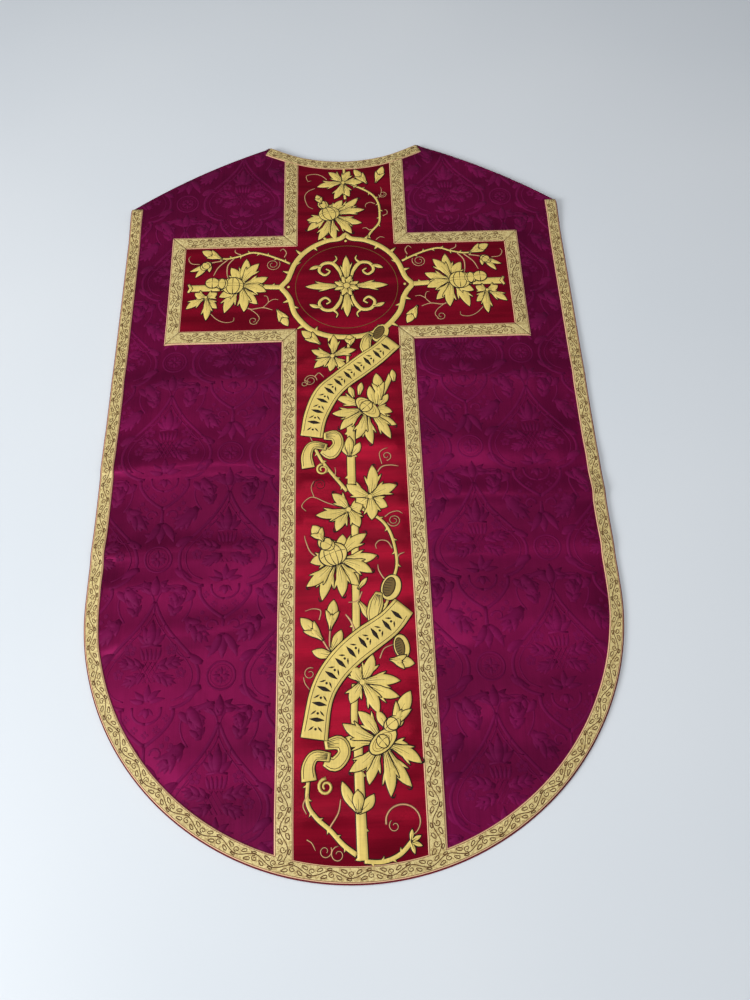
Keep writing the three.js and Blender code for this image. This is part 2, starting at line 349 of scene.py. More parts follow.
def lie_exact(x, y):
    """How far the back's layers lie above their CAD height."""
    outline = panel_outline(*FRONT, 0)
    out, _ = nearest(outline, x, y)
    in_neck = (y > FRONT_NECK_FOOT) & (np.abs(x) < NECK_HALF)
    fall = eased(out / FALL) * np.where(in_neck, 0.55, 1.0)
    h = -DROOP * fall
    lower = eased((330 - y) / 300)
    swell = (1 + np.sin(x / 61 + 1.3 * np.sin(y / 118) + 0.6)) * (1 + np.sin(y / 83 - x / 240))
    h += 0.42 * swell * (0.35 + 0.65 * lower)
    h += 0.25 * (1 + np.sin(x / 23 + 2 * np.sin(y / 57))) * (1 + np.sin(y / 31 + x / 70)) * lower
    for start, end, height, below, above in CREASES:
        h += CREASE_RISE * crease(x, y, (start, end), height, below, above)
    band = eased((BAND_HALF + 2 - np.abs(x)) / 16)
    for at, size, reach in RIPPLES:
        v = y - at - 5 * np.sin(x / 38 + at) - x * 0.05 * math.sin(at)
        bump = np.exp(-((v / (RIPPLE_REACH * reach)) ** 2))
        h += band * RIPPLE_RISE * size * bump * (0.75 + 0.25 * np.sin(x / 29 + at))
    quiet = eased((LIFT_Y + 10 - y) / 60) * 0.6 + 0.4
    return np.where(h > 0, h * quiet, h)


CELL = 3.0  # spacing of the stored height field


def stored_field():
    xs = np.arange(-HALF_WIDTH - 12, HALF_WIDTH + 12 + CELL, CELL)
    ys = np.arange(BOTTOM_Y - 12, TOP_Y + 12 + CELL, CELL)
    gx, gy = np.meshgrid(xs, ys)
    return xs, ys, lie_exact(gx.ravel(), gy.ravel()).reshape(gx.shape)


FIELD = stored_field()


def lie(x, y):
    """The height field, read between its stored values by smooth blending."""
    xs, ys, h = FIELD
    u = np.clip((np.asarray(x, float) - xs[0]) / CELL, 1, len(xs) - 3.001)
    v = np.clip((np.asarray(y, float) - ys[0]) / CELL, 1, len(ys) - 3.001)
    i = u.astype(int)
    j = v.astype(int)

    def weights(t):
        return ((-t + 2 * t**2 - t**3) / 2, (2 - 5 * t**2 + 3 * t**3) / 2,
                (t + 4 * t**2 - 3 * t**3) / 2, (t**3 - t**2) / 2)

    wu = weights(u - i)
    wv = weights(v - j)
    total = 0
    for b in range(4):
        row = sum(wu[a] * h[j + b - 1, i + a - 1] for a in range(4))
        total = total + wv[b] * row
    return total


def flat(x, y):
    """The front's layers lie flat on the table."""
    return np.zeros(np.shape(x))


# ---- materials ----


WAVE_SCALE = 3.2  # threads in one unit of the wave texture's scale


class Shader:
    """A short way of writing a material's nodes."""

    def __init__(self, name):
        self.material = bpy.data.materials.new(name)
        self.material.use_nodes = True
        self.tree = self.material.node_tree
        self.surface = self.tree.nodes["Principled BSDF"]
        self.place = self.add("ShaderNodeUVMap")
        self.place.uv_map = "cloth"

    def add(self, kind, inputs=(), **settings):
        made = self.tree.nodes.new(kind)
        for key, value in settings.items():
            setattr(made, key, value)
        for key, value in dict(inputs).items():
            self.put(made.inputs[key], value)
        return made

    def put(self, socket, value):
        if hasattr(value, "outputs"):
            value = value.outputs[0]
        if hasattr(value, "links"):
            self.tree.links.new(value, socket)
        else:
            socket.default_value = value

    def sum(self, operation, *values):
        made = self.add("ShaderNodeMath", operation=operation)
        for socket, value in zip(made.inputs, values):
            self.put(socket, value)
        return made

    def stretched(self, x, y, turn=0.0):
        """The cloth's own coordinates, scaled, in repeats per metre."""
        made = self.add("ShaderNodeMapping", {"Vector": self.place})
        made.inputs["Scale"].default_value = (x, y, 1)
        made.inputs["Rotation"].default_value = (0, 0, math.radians(turn))
        return made

    def noise(self, x, y, turn=0.0, detail=3.0, distortion=0.0):
        return self.add("ShaderNodeTexNoise", {
            "Vector": self.stretched(x, y, turn), "Scale": 1.0,
            "Detail": detail, "Distortion": distortion})

    def threads(self, per_metre, across, distortion=0.6):
        """Fine parallel threads."""
        made = self.add("ShaderNodeTexWave", {
            "Vector": self.place, "Scale": per_metre / WAVE_SCALE,
            "Distortion": distortion, "Detail": 1.0, "Detail Scale": 2.0})
        made.bands_direction = "Y" if across else "X"
        return made

    def ramp(self, value, *stops):
        made = self.add("ShaderNodeValToRGB", {"Fac": value})
        elements = made.color_ramp.elements
        while len(elements) < len(stops):
            elements.new(0.5)
        for element, (at, colour) in zip(elements, stops):
            element.position = at
            element.color = (*colour, 1)
        return made

    def mix(self, factor, a, b, blend="MIX"):
        made = self.add("ShaderNodeMix", data_type="RGBA", blend_type=blend)
        self.put(made.inputs["Factor"], factor)
        for socket, value in ((made.inputs[6], a), (made.inputs[7], b)):
            if isinstance(value, tuple):
                value = (*value, 1)
            self.put(socket, value)
        return made.outputs[2]

    def finish(self, colour, roughness, height, strength, depth, **constants):
        """Colour and roughness from nodes, a bump from the height, and plain numbers on the shader."""
        bump = self.add("ShaderNodeBump", {"Height": height, "Strength": strength, "Distance": depth})
        self.put(self.surface.inputs["Base Color"], colour)
        self.put(self.surface.inputs["Roughness"], roughness)
        self.put(self.surface.inputs["Normal"], bump)
        for key, value in constants.items():
            self.surface.inputs[key.replace("_", " ")].default_value = value
        return self.material


def shade(colour, by):
    return tuple(min(1.0, c * by) for c in colour)


def woven(name, colour, gloss, weave=1400, lines=0.35, spread=0.25, specular=0.4):
    """Plain woven cloth: crossing threads, mottled dye and slight rubbing."""
    s = Shader(name)
    warp = s.threads(weave, False)
    weft = s.threads(weave * 0.9, True)
    cross = s.sum("MULTIPLY", warp, weft)
    broad = s.noise(7, 7, detail=4)
    fine = s.noise(260, 260, detail=3)
    tone = s.ramp(broad, (0.3, shade(colour, 1 - spread)), (0.7, shade(colour, 1 + spread)))
    flecks = s.ramp(fine, (0.35, shade(colour, 0.72)), (0.65, shade(colour, 1.25)))
    mixed = s.mix(0.35, tone, flecks)
    shaded = s.mix(lines, mixed, s.mix(cross, shade(colour, 0.55), shade(colour, 1.35)))
    rough = s.sum("MULTIPLY_ADD", fine, 0.16, gloss - 0.08)
    height = s.sum("MULTIPLY_ADD", fine, 0.5, cross)
    return s.finish(
        shaded, rough, height, 0.35, 0.00012,
        Sheen_Weight=0.3, Sheen_Tint=(*colour, 1), Sheen_Roughness=0.4,
        Specular_IOR_Level=specular)


def satin(name, colour, gloss, along_y, gleam, metal, specular, painted_light_bands=(2.4, 15, 0.8, 1.2)):
    """Satin: long floating threads one way, with a soft shine and streaks along them.

    The last argument gives broad soft stripes of painted shade and painted highlight, standing for light on
    ripples in the cloth: how close across and down, how dark and how light.
    """
    s = Shader(name)
    spread = 0.2
    fibre = 900.0
    streaks = s.noise(*((fibre, 9) if along_y else (9, fibre)), detail=4)
    slubs = s.noise(*((120, 5) if along_y else (5, 120)), detail=3)
    broad = s.noise(9, 9, detail=4)
    threads = s.threads(1500, not along_y, 0.3)
    tone = s.ramp(broad, (0.3, shade(colour, 1 - spread)), (0.7, shade(colour, 1 + spread)))
    lined = s.mix(0.35, tone, s.ramp(
        streaks, (0.3, shade(colour, 0.66)), (0.7, shade(colour, 1.34))))
    lined = s.mix(0.18, lined, s.ramp(
        slubs, (0.35, shade(colour, 0.7)), (0.65, shade(colour, 1.3))))
    across, down, dark, light = painted_light_bands
    # Painted shade and painted highlight: broad soft stripes multiplied into the colour, standing for light
    # on ripples in the cloth.
    drawn = s.noise(across, down, 4.0, detail=2)
    lined = s.mix(1.0, lined, s.ramp(
        drawn, (0.38, (dark,) * 3), (0.62, (light,) * 3)), "MULTIPLY")
    rough = s.sum("MULTIPLY_ADD", streaks, 0.18, gloss - 0.09)
    height = s.sum("MULTIPLY_ADD", streaks, 0.8, threads)
    return s.finish(
        lined, rough, height, 0.28, 0.0001,
        Metallic=metal, Sheen_Weight=0.08, Sheen_Tint=(*colour, 1), Sheen_Roughness=0.35,
        Specular_IOR_Level=specular, Specular_Tint=(*gleam, 1))


def stitched(name, colour, gloss=0.42, turn=38.0, spread=0.12):
    """Couched silk: close slanting stitches with a soft gleam."""
    s = Shader(name)
    pitch = 520.0
    slant = s.noise(pitch, 24, turn, detail=3)
    other = s.noise(24, pitch, turn + 12, detail=2)
    patch = s.noise(60, 60, detail=2)
    stitch = s.sum("MULTIPLY_ADD", other, 0.35, slant)
    broad = s.noise(11, 11, detail=3)
    tone = s.ramp(broad, (0.3, shade(colour, 1 - spread)), (0.7, shade(colour, 1 + spread)))
    lined = s.mix(0.4, tone, s.ramp(
        stitch, (0.45, shade(colour, 0.68)), (0.85, shade(colour, 1.3))))
    lined = s.mix(0.2, lined, s.ramp(patch, (0.4, shade(colour, 0.8)), (0.6, shade(colour, 1.15))))
    rough = s.sum("MULTIPLY_ADD", slant, 0.2, gloss - 0.1)
    return s.finish(
        lined, rough, stitch, 0.5, 0.00018,
        Sheen_Weight=0.05, Sheen_Roughness=0.4, Specular_IOR_Level=0.25)


def braided(name, colour, shadow):
    """Gold braid: ribs across the band, threads wound on them, darker between the threads, flecks of a
    painted shadow colour and patches of tarnish.
    """
    s = Shader(name)
    warp = s.threads(900, False, 0.8)
    weft = s.threads(700, True, 0.8)
    cross = s.sum("MULTIPLY", warp, weft)
    leaf = s.noise(230, 230, detail=3, distortion=1.4)
    tarnish = s.noise(22, 22, detail=5)
    body = s.mix(cross, shade(colour, 0.68), shade(colour, 1.2))
    body = s.mix(s.ramp(leaf, (0.46, (0, 0, 0)), (0.58, (0.62, 0.62, 0.62))), body, shadow)
    body = s.mix(s.ramp(tarnish, (0.45, (0, 0, 0)), (0.8, (0.5, 0.5, 0.5))), body, shade(colour, 0.6))
    rough = s.sum("MULTIPLY_ADD", leaf, 0.3, 0.3)
    height = s.sum("MULTIPLY_ADD", leaf, 0.8, cross)
    return s.finish(
        body, rough, height, 0.6, 0.00022, Metallic=0.1, Specular_IOR_Level=0.4, Sheen_Weight=0.05,
        Sheen_Roughness=0.4)


def srgb(r, g, b):
    """A colour given as it is seen, from 0 to 255."""
    def linear(c):
        c = c / 255
        return c / 12.92 if c <= 0.04045 else ((c + 0.055) / 1.055) ** 2.4

    return (linear(r), linear(g), linear(b))


PURPLE = srgb(106, 14, 58)
FIGURE = srgb(98, 12, 58)
CRIMSON = srgb(130, 10, 34)
GOLD = srgb(218, 192, 106)
BRAID = srgb(242, 218, 150)
PURPLE_GLEAM = (0.9, 0.2, 0.6)
CRIMSON_GLEAM = (1.0, 0.2, 0.3)

INKS = {
    "damask_ground": satin("damask_ground", PURPLE, 0.44, True, PURPLE_GLEAM, 0.6, 0.3),
    "damask_figure": satin("damask_figure", FIGURE, 0.6, False, PURPLE_GLEAM, 0.0, 0.2),
    # the crimson's last numbers set its stripes of painted shade and painted highlight
    "crimson_satin": satin(
        "crimson_satin", CRIMSON, 0.36, False, CRIMSON_GLEAM, 0.5, 0.3, (5, 34, 0.7, 1.2)),
    "lining_cotton": woven("lining_cotton", srgb(112, 12, 34), 0.55, specular=0.2),
    "canvas": woven("canvas", srgb(205, 192, 165), 0.85, weave=700, lines=0.5),
    "gold_silk": stitched("gold_silk", GOLD),
    "outline": stitched("outline", srgb(26, 12, 8), 0.6, turn=0, spread=0.3),
    "shading": stitched("shading", srgb(122, 92, 36), 0.5, turn=20),
    "olive": stitched("olive", srgb(104, 82, 36), 0.5, turn=60),
    "tendril": stitched("tendril", srgb(206, 158, 112), 0.45, turn=15),
    "braid": braided("braid", BRAID, srgb(150, 118, 62)),
    "braid_line": stitched("braid_line", srgb(100, 66, 30), 0.55, turn=5),
    "selvage": stitched("selvage", srgb(224, 178, 138), 0.5, turn=80),
}

# ---- meshes ----

SUNK = 0.32  # how far the edge of a laid piece is pressed into what it lies on
THREAD = 0.12  # the same for a single thread
COLUMN = 4.5  # the widest stretch of a strip without a point, so that it bends with the cloth
RINGS = (0.3, 0.6, 0.8, 0.94, 1.0)  # of an oval plate, as shares of its radius


class Web:
    """Closed shapes gathered into one mesh. Points are x, y and the rise over the layer's height."""

    def __init__(self):
        self.points = []
        self.faces = []
        self.inks = []
        self.smooth = []
        self.spans = []
        self.count = 0

    def shape(self, points, faces, inks, smooth):
        self.points.append(np.asarray(points, float))
        self.faces.extend(tuple(i + self.count for i in f) for f in faces)
        self.inks.extend(inks)
        self.smooth.extend(smooth)
        self.spans.append((self.count, len(points), len(self.faces) - len(faces), len(faces)))
        self.count += len(points)

    def rows(self, rows, ink, closed=False, soft_sides=False):
        """A closed strip from rows of points, given as an array of rows by columns by three."""
        n, m, _ = rows.shape
        faces = []
        smooth = []
        for i in range(n if closed else n - 1):
            j = (i + 1) % n
            for k in range(m - 1):
                faces.append((i * m + k, i * m + k + 1, j * m + k + 1, j * m + k))
                side = k in (0, m - 2) and m > 3
                smooth.append(soft_sides or not side)
            faces.append((j * m, j * m + m - 1, i * m + m - 1, i * m))
            smooth.append(False)
        if not closed:
            faces += [tuple(range(m - 1, -1, -1)), tuple(range((n - 1) * m, n * m))]
            smooth += [False, False]
        self.shape(rows.reshape(-1, 3), faces, [ink] * len(faces), smooth)

    def tube(self, rows, ink, closed=False, inks=None):
        """A wide strip whose underside has the same columns as its top, so that it bends with it.

        inks gives each strip between two columns of the top its own ink.
        """
        under = rows[:, -2:0:-1].copy()
        under[:, :, 2] = rows[:, :1, 2]
        ring = np.concatenate([rows, under], 1)
        n, c, _ = ring.shape
        m = rows.shape[1]
        faces = []
        smooth = []
        inked = []
        around = (inks or [ink] * (m - 1)) + [ink] * (c - m + 1)
        for i in range(n if closed else n - 1):
            j = (i + 1) % n
            for k in range(c):
                after = (k + 1) % c
                faces.append((i * c + k, i * c + after, j * c + after, j * c + k))
                smooth.append(0 < k < m - 2)
            inked += around
        if not closed:
            faces += [tuple(range(c - 1, -1, -1)), tuple(range((n - 1) * c, n * c))]
            smooth += [False, False]
            inked += [ink, ink]
        self.shape(ring.reshape(-1, 3), faces, inked, smooth)

    def strand(self, line, width, lift=0.0, ink="gold_silk", crown=0.0, columns=4, closed=False):
        """A strip along a line, its width given once or at each point."""
        line = np.asarray(line, float)
        w = np.maximum(np.broadcast_to(np.asarray(width, float), len(line)), 0.06) / 2
        if closed:
            step = np.roll(line, -1, 0) - np.roll(line, 1, 0)
        else:
            step = np.gradient(line, axis=0)
        along = unit(step)
        side = np.c_[-along[:, 1], along[:, 0]]
        if columns == 3:
            u = np.array([1.0, 0.0, -1.0])
            rise = np.array([-THREAD, 0.0, -THREAD])
        else:
            if not ink.startswith("damask"):
                columns = max(columns, 3 + math.ceil(2 * w.max() / COLUMN))
            edge = 1 - np.minimum(0.45, 0.18 / np.maximum(w.mean(), 0.2))
            inner = np.linspace(edge, -edge, columns - 2)
            u = np.r_[1.0, inner, -1.0]
            rise = np.r_[-SUNK, 0 * inner, -SUNK]
        arch = crown * (1 - u**2)
        xy = line[:, None, :] + side[:, None, :] * (w[:, None] * u[None, :])[:, :, None]
        z = lift + rise[None, :] + arch[None, :] * np.minimum(1, w / 2)[:, None]
        rows = np.concatenate([xy, np.broadcast_to(z, xy.shape[:2])[:, :, None]], 2)
        if columns > 4:
            self.tube(rows, ink, closed)
        else:
            self.rows(rows, ink, closed=closed)

    def thread(self, line, width, lift, ink="outline", closed=False):
        """A narrow ridge: a drawn line, a vein or a tendril."""
        self.strand(line, width, lift, ink, columns=3, closed=closed)

    def woven(self, line, width, closed=False):
        """A line of the damask's figure."""
        self.strand(line, width, 0.0, "damask_figure", closed=closed)

    def dot(self, centre, radius, steps):
        """A dot of the damask's figure."""
        self.disc(centre, radius, 0.0, "damask_figure", steps=steps)

    def disc(self, centre, radii, lift=0.0, ink="gold_silk", turn=0.0, crown=0.0, steps=16):
        """An oval plate of rings, whose underside has the same rings as its top."""
        a = np.linspace(0, 2 * PI, steps, endpoint=False)
        rx, ry = (radii, radii) if np.isscalar(radii) else radii
        c, s = math.cos(math.radians(turn)), math.sin(math.radians(turn))
        points = [(centre[0], centre[1], lift + crown)]
        for share in RINGS:
            rise = crown * (1 - share**2) if share < 1 else -SUNK
            x = rx * share * np.cos(a)
            y = ry * share * np.sin(a)
            for px, py in zip(x * c - y * s, x * s + y * c):
                points.append((centre[0] + px, centre[1] + py, lift + rise))
        faces = []
        smooth = []
        for k in range(steps):
            j = (k + 1) % steps
            faces.append((0, 1 + k, 1 + j))
            smooth.append(True)
            for ring in range(len(RINGS) - 1):
                at = 1 + ring * steps
                faces.append((at + k, at + steps + k, at + steps + j, at + j))
                smooth.append(ring < len(RINGS) - 2)
        outer = 1 + (len(RINGS) - 1) * steps
        first = len(points)
        points += [(x, y, lift - SUNK) for x, y, _ in points[:outer]]
        for k in range(steps):
            j = (k + 1) % steps
            faces.append((first, first + 1 + j, first + 1 + k))
            for ring in range(len(RINGS) - 2):
                at = first + 1 + ring * steps
                faces.append((at + j, at + steps + j, at + steps + k, at + k))
            at = first + 1 + (len(RINGS) - 2) * steps
            faces.append((at + j, outer + j, outer + k, at + k))
            smooth += [False] * len(RINGS)
        self.shape(points, faces, [ink] * len(faces), smooth)

    def array(self):
        return np.vstack(self.points)

    def mirror(self):
        """Turns every shape over to the other side of the centre line."""
        self.points = [p * (-1, 1, 1) for p in self.points]
        self.faces = [f[::-1] for f in self.faces]


def object_of(name, points, faces, inks, smooth):
    """A mesh object in metres, with its materials, its cloth coordinates and its shading."""
    data = bpy.data.meshes.new(name)
    data.from_pydata((np.asarray(points) * MM).tolist(), [], faces)
    used = sorted(set(inks))
    for ink in used:
        data.materials.append(INKS[ink])
    index = {ink: i for i, ink in enumerate(used)}
    data.polygons.foreach_set("material_index", [index[i] for i in inks])
    data.polygons.foreach_set("use_smooth", np.array(smooth, bool))
    layer = data.uv_layers.new(name="cloth")
    corners = np.zeros(len(data.loops), np.int32)
    data.loops.foreach_get("vertex_index", corners)
    at = np.asarray(points)[corners][:, :2] * MM
    layer.uv.foreach_set("vector", at.astype(np.float32).ravel())
    data.update()
    made = bpy.data.objects.new(name, data)
    bpy.context.scene.collection.objects.link(made)
    return made


def place(web, name, base, field=lie, down=False):
    """A web laid on its layer: base is the layer's height, and down hangs it under the layer."""
    p = web.array()
    height = field(p[:, 0], p[:, 1])
    p[:, 2] = base + height + (-p[:, 2] if down else p[:, 2])
    faces = [f[::-1] for f in web.faces] if down else web.faces
    return object_of(name, p, faces, web.inks, web.smooth)


CLOTH = 6.0  # spacing of the points in every layer of cloth, so that the layers bend alike
BEND_ROWS = 17


def grid_rows():
    """Heights of the rows of points, closer together where the cloth turns at a fold."""
    ys = CLOTH * np.arange(math.floor(BOTTOM_Y / CLOTH), math.ceil(TOP_Y / CLOTH) + 1)
    for hinge in (LIFT_Y, FOLD_Y):
        ys = ys[(ys < hinge - BEND - 1) | (ys > hinge + 1)]
        ys = np.r_[ys, np.linspace(hinge - BEND, hinge, BEND_ROWS)]
    return np.sort(ys)


ROWS = grid_rows()


def filled(outline, cuts=()):
    """Triangles that fill the outline, with inner points on a grid and an edge along each cut."""
    outline = np.asarray(outline, float)
    gap = np.linalg.norm(outline - np.roll(outline, -1, 0), axis=1)
    outline = outline[gap > 1e-3]
    edge = []
    for a, b in zip(outline, np.roll(outline, -1, 0)):
        n = max(1, round(np.linalg.norm(b - a) / CLOTH * 1.5))
        edge += [a + (b - a) * k / n for k in range(n)]
    edge = np.array(edge)
    low, high = edge.min(0), edge.max(0)
    xs = CLOTH * np.arange(math.floor(low[0] / CLOTH), math.ceil(high[0] / CLOTH) + 1)
    gx, gy = np.meshgrid(xs, ROWS)
    gx[1::2] += CLOTH / 2
    within = (gy > low[1]) & (gy < high[1])
    gx, gy = gx[within], gy[within]
    keep, _ = nearest(edge, gx.ravel(), gy.ravel())
    inner = np.c_[gx.ravel(), gy.ravel()][keep < -0.5 * CLOTH]
    for cut in cuts:
        inner = inner[np.abs(inner[:, 1] - cut) > 0.4 * CLOTH]
    points = [Vector(p) for p in edge] + [Vector(p) for p in inner]
    edges = []
    for cut in cuts:
        ends = crossings(edge, cut)
        line = np.linspace(ends[0], ends[1], max(2, round((ends[1] - ends[0]) / CLOTH)))
        first = len(points)
        points += [Vector((x, cut)) for x in line]
        edges += [(first + k, first + k + 1) for k in range(len(line) - 1)]
    loop = list(range(len(edge)))
    out = delaunay_2d_cdt(points, edges, [loop], 1, 1e-5)
    return np.array([tuple(v) for v in out[0]]), [tuple(f) for f in out[2]]


def crossings(loop, y):
    """The outermost places where the loop crosses that height."""
    a = loop
    b = np.roll(loop, -1, 0)
    hit = (a[:, 1] > y) != (b[:, 1] > y)
    a, b = a[hit], b[hit]
    x = a[:, 0] + (y - a[:, 1]) / (b[:, 1] - a[:, 1]) * (b[:, 0] - a[:, 0])
    return x.min(), x.max()


def slope(field, x, y):
    """Unit normals of the height field."""
    e = CELL / 2
    dx = (field(x + e, y) - field(x - e, y)) / (2 * e)
    dy = (field(x, y + e) - field(x, y - e)) / (2 * e)
    return unit(np.c_[-dx, -dy, np.ones_like(dx)])


def slab(name, flat_mesh, keep, heights, ink, field=lie):
    """One layer of cloth, from the triangles whose middle passes keep."""
    xy, triangles = flat_mesh
    middle = xy[np.array(triangles)].mean(1)
    kept = [t for t, m in zip(triangles, middle) if keep(m)]
    used = sorted({i for t in kept for i in t})
    number = {v: k for k, v in enumerate(used)}
    top = [tuple(number[i] for i in t) for t in kept]
    p = xy[used]
    h = field(p[:, 0], p[:, 1])
    n = len(p)
    points = np.vstack([np.c_[p, heights[1] + h], np.c_[p, heights[0] + h]])
    a, b, c = (p[[t[k] for t in top]] for k in range(3))
    turn = (b - a)[:, 0] * (c - a)[:, 1] - (b - a)[:, 1] * (c - a)[:, 0]
    float(np.abs(turn).sum() / 2) * MM**2
    top = [t if s > 0 else t[::-1] for t, s in zip(top, turn)]
    sides = {}
    for t in top:
        for i, j in ((t[0], t[1]), (t[1], t[2]), (t[2], t[0])):
            if (j, i) in sides:
                del sides[j, i]
            else:
                sides[i, j] = True
    walls = [(j, i, i + n, j + n) for i, j in sides]
    faces = top + [(t[2] + n, t[1] + n, t[0] + n) for t in top] + walls
    smooth = [True] * (2 * len(top)) + [False] * len(walls)
    made = object_of(name, points, faces, [ink] * len(faces), smooth)
    up = slope(field, p[:, 0], p[:, 1])
    normals = np.zeros((len(made.data.loops), 3), np.float32)
    corners = np.array([i for f in top for i in f])
    normals[: len(corners)] = up[corners]
    under = np.array([i - n for f in faces[len(top): 2 * len(top)] for i in f])
    normals[len(corners): 2 * len(corners)] = -up[under]
    made.data.normals_split_custom_set(normals.tolist())
    return made


# ---- each piece's transform baked into its mesh, and which triangles a piece keeps ----


def upper(piece):
    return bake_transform(piece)


def lower(piece):
    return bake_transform(piece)


def fronted(piece):
    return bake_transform(piece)


def above(m):
    return m[1] > SPLIT_Y


def below(m):
    return m[1] < SPLIT_Y


def everywhere(m):
    return True


# ---- cloth layers ----

LAYERS = (  # name, how far it is taken in at the edge and at the back's shoulders, ink
    ("damask", LIP, 2.6, "damask_ground"),
    ("interlining", LIP + 4, 3.4, "canvas"),
    ("lining", 0.0, 2.6, "lining_cotton"),
)
FRONT_SHOULDER_IN = 3.0
NECK_IN = 0.6
CANVAS_CLEARANCE = 0.2  # the interlining is kept this clear of the cloth on each side of it


def thickness(part, layer):
    """The layer's two heights."""
    low, high = Z[part, layer]
    return (low + CANVAS_CLEARANCE, high - CANVAS_CLEARANCE) if layer == "interlining" else (low, high)


def back_cloth():
    for layer, taken_in, shoulder_in, ink in LAYERS:
        mesh = filled(panel_outline(*BACK, taken_in, NECK_IN, shoulder_in), [SPLIT_Y])
        heights = thickness("back", layer)
        top = slab(f"back_{layer}_upper", mesh, above, heights, ink)
        upper(top)
        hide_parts(f"back_{layer}_yoke", f"back_{layer}_panel")
        foot = slab(f"back_{layer}_lower", mesh, below, heights, ink)
        lower(foot)
        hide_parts(f"back_{layer}_hem")


def front_cloth():
    for layer, taken_in, _, ink in LAYERS:
        mesh = filled(panel_outline(*FRONT, taken_in, NECK_IN, FRONT_SHOULDER_IN))
        made = slab(f"front_{layer}_sheet", mesh, everywhere, thickness("front", layer), ink, flat)
        fronted(made)
        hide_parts(f"front_{layer}_panel", f"front_{layer}_hem")


PROUD = 0.03  # rise of one piece over another in the same layer


def shoulder_folds():
    """The damask turned softly over from the back to the front along each shoulder."""
    top = Z["back", "damask"][1]
    foot = Z["front", "damask"][0]
    mid = (top + foot) / 2
    half = (top - foot) / 2
    for side, line in (("right", shoulder_line()), ("left", mirrored(shoulder_line()))):
        line = resampled(line, 5)
        web = Web()
        turns = np.radians(np.linspace(90, -90, 9))
        h = lie(line[:, 0], line[:, 1])
        rows = []
        for a in turns:
            moved = inset(line, 3.9 - 3.7 * math.cos(a) ** 0.8)
            z = mid + half * math.sin(a) + PROUD + h * (0.5 + 0.5 * math.sin(a))
            rows.append(np.c_[moved, z])
        moved = inset(line, 5.5)
        rows.insert(0, np.c_[moved, top + PROUD + h])
        rows.append(np.c_[moved, np.full(len(line), foot + PROUD)])
        grid = np.stack(rows, 1)[:, ::-1]
        web.rows(grid, "damask_ground", soft_sides=True)
        piece = object_of(f"shoulder_fold_{side}", web.array(), web.faces, web.inks, web.smooth)
        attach(piece, "front_and_yoke")
        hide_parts(f"shoulder_seam_{side}")


# ---- galloons ----

REPEAT = 45.0  # length of one repeat of the vine drawn on a braid


def vine_lines():
    """One repeat of the vine, as lines of (along, across) for a braid as wide as GALLOON."""
    def swirl(x, y, r, start, turns, way):
        a = np.linspace(0, turns * 2 * PI, 11)
        size = r * (1 - 0.75 * a / a[-1])
        return np.c_[x + size * np.cos(start + way * a), y + size * np.sin(start + way * a)]

    def leaf(x, y, long, wide, turn):
        t = np.linspace(0, 2 * PI, 9)
        px = long / 2 * np.cos(t)
        py = wide / 2 * np.sin(t) * (1 - 0.4 * np.cos(t))
        c, s = math.cos(turn), math.sin(turn)
        return np.c_[x + px * c - py * s, y + px * s + py * c]

    s = np.linspace(0, REPEAT, 15)
    lines = [np.c_[s, 4.6 * np.sin(2 * PI * s / REPEAT)]]
    for x, sign in ((11.0, 1), (33.5, -1)):
        lines.append(swirl(x, -1.2 * sign, 4.2, sign * PI / 2, 1.2, -sign))
        lines.append(leaf(x - 8.5, -3.9 * sign, 7.5, 3.6, 0.7 * sign))
        lines.append(leaf(x + 8.8, -4.6 * sign, 8.0, 3.8, -0.5 * sign))
        lines.append(leaf(x + 3, 6.2 * sign, 6.0, 2.6, -0.2 * sign))
    return lines


VINE = vine_lines()


def braid_rows(left, right):
    """Rows across a band whose two edges run from left to right, at equal shares of their lengths."""
    shares = np.array([0.0, 0.02, 0.065, 0.1, 0.3, 0.5, 0.7, 0.9, 0.935, 0.98, 1.0])
    rise = np.array([-1.25, -0.12, 0.0, 0.02, 0.06, 0.07, 0.06, 0.02, 0.0, -0.12, -1.25])
    xy = left[:, None, :] * (1 - shares[None, :, None]) + right[:, None, :] * shares[None, :, None]
    z = np.broadcast_to(rise, xy.shape[:2])
    return np.concatenate([xy, z[:, :, None]], 2)


BRAID_INKS = ["selvage", "selvage", "braid_line", "braid", "braid", "braid", "braid", "braid_line",
              "selvage", "selvage"]


def braid(web, line, width, corners=(False, False), ends=None):
    """A band along a line. corners says which ends are mitred, and ends gives the mitre's edge points."""
    line = np.asarray(line, float)
    left = inset(line, -width / 2)
    right = inset(line, width / 2)
    if ends:
        left, right = ends
    n = max(3, round(lengths(line)[-1] / 3.5))
    left = resampled_to(left, n)
    right = resampled_to(right, n)
    web.tube(braid_rows(left, right)[:, ::-1], "braid", inks=BRAID_INKS)
    vine(web, line, width, corners)


def resampled_to(line, n):
    at = lengths(line)
    to = np.linspace(0, at[-1], n)
    return np.c_[np.interp(to, at, line[:, 0]), np.interp(to, at, line[:, 1])]


def vine(web, line, width, corners):
    """The brown vine drawn along a band, scaled to its width."""
    at = lengths(line)
    skip = [width / 2 + 1.5 if c else 0.0 for c in corners]
    run = at[-1] - skip[0] - skip[1]
    count = max(1, round(run / REPEAT))
    stretch = run / (count * REPEAT)
    scale = width / GALLOON
    dense = resampled(line, 4)
    along = lengths(dense)
    normal = np.gradient(dense, axis=0)
    normal = unit(np.c_[normal[:, 1], -normal[:, 0]])
    for k in range(count):
        for shape in VINE:
            s = skip[0] + (k * REPEAT + shape[:, 0]) * stretch
            t = shape[:, 1] * scale
            x = np.interp(s, along, dense[:, 0]) + t * np.interp(s, along, normal[:, 0])
            y = np.interp(s, along, dense[:, 1]) + t * np.interp(s, along, normal[:, 1])
            web.thread(np.c_[x, y], 1.25, 0.17, "braid_line")


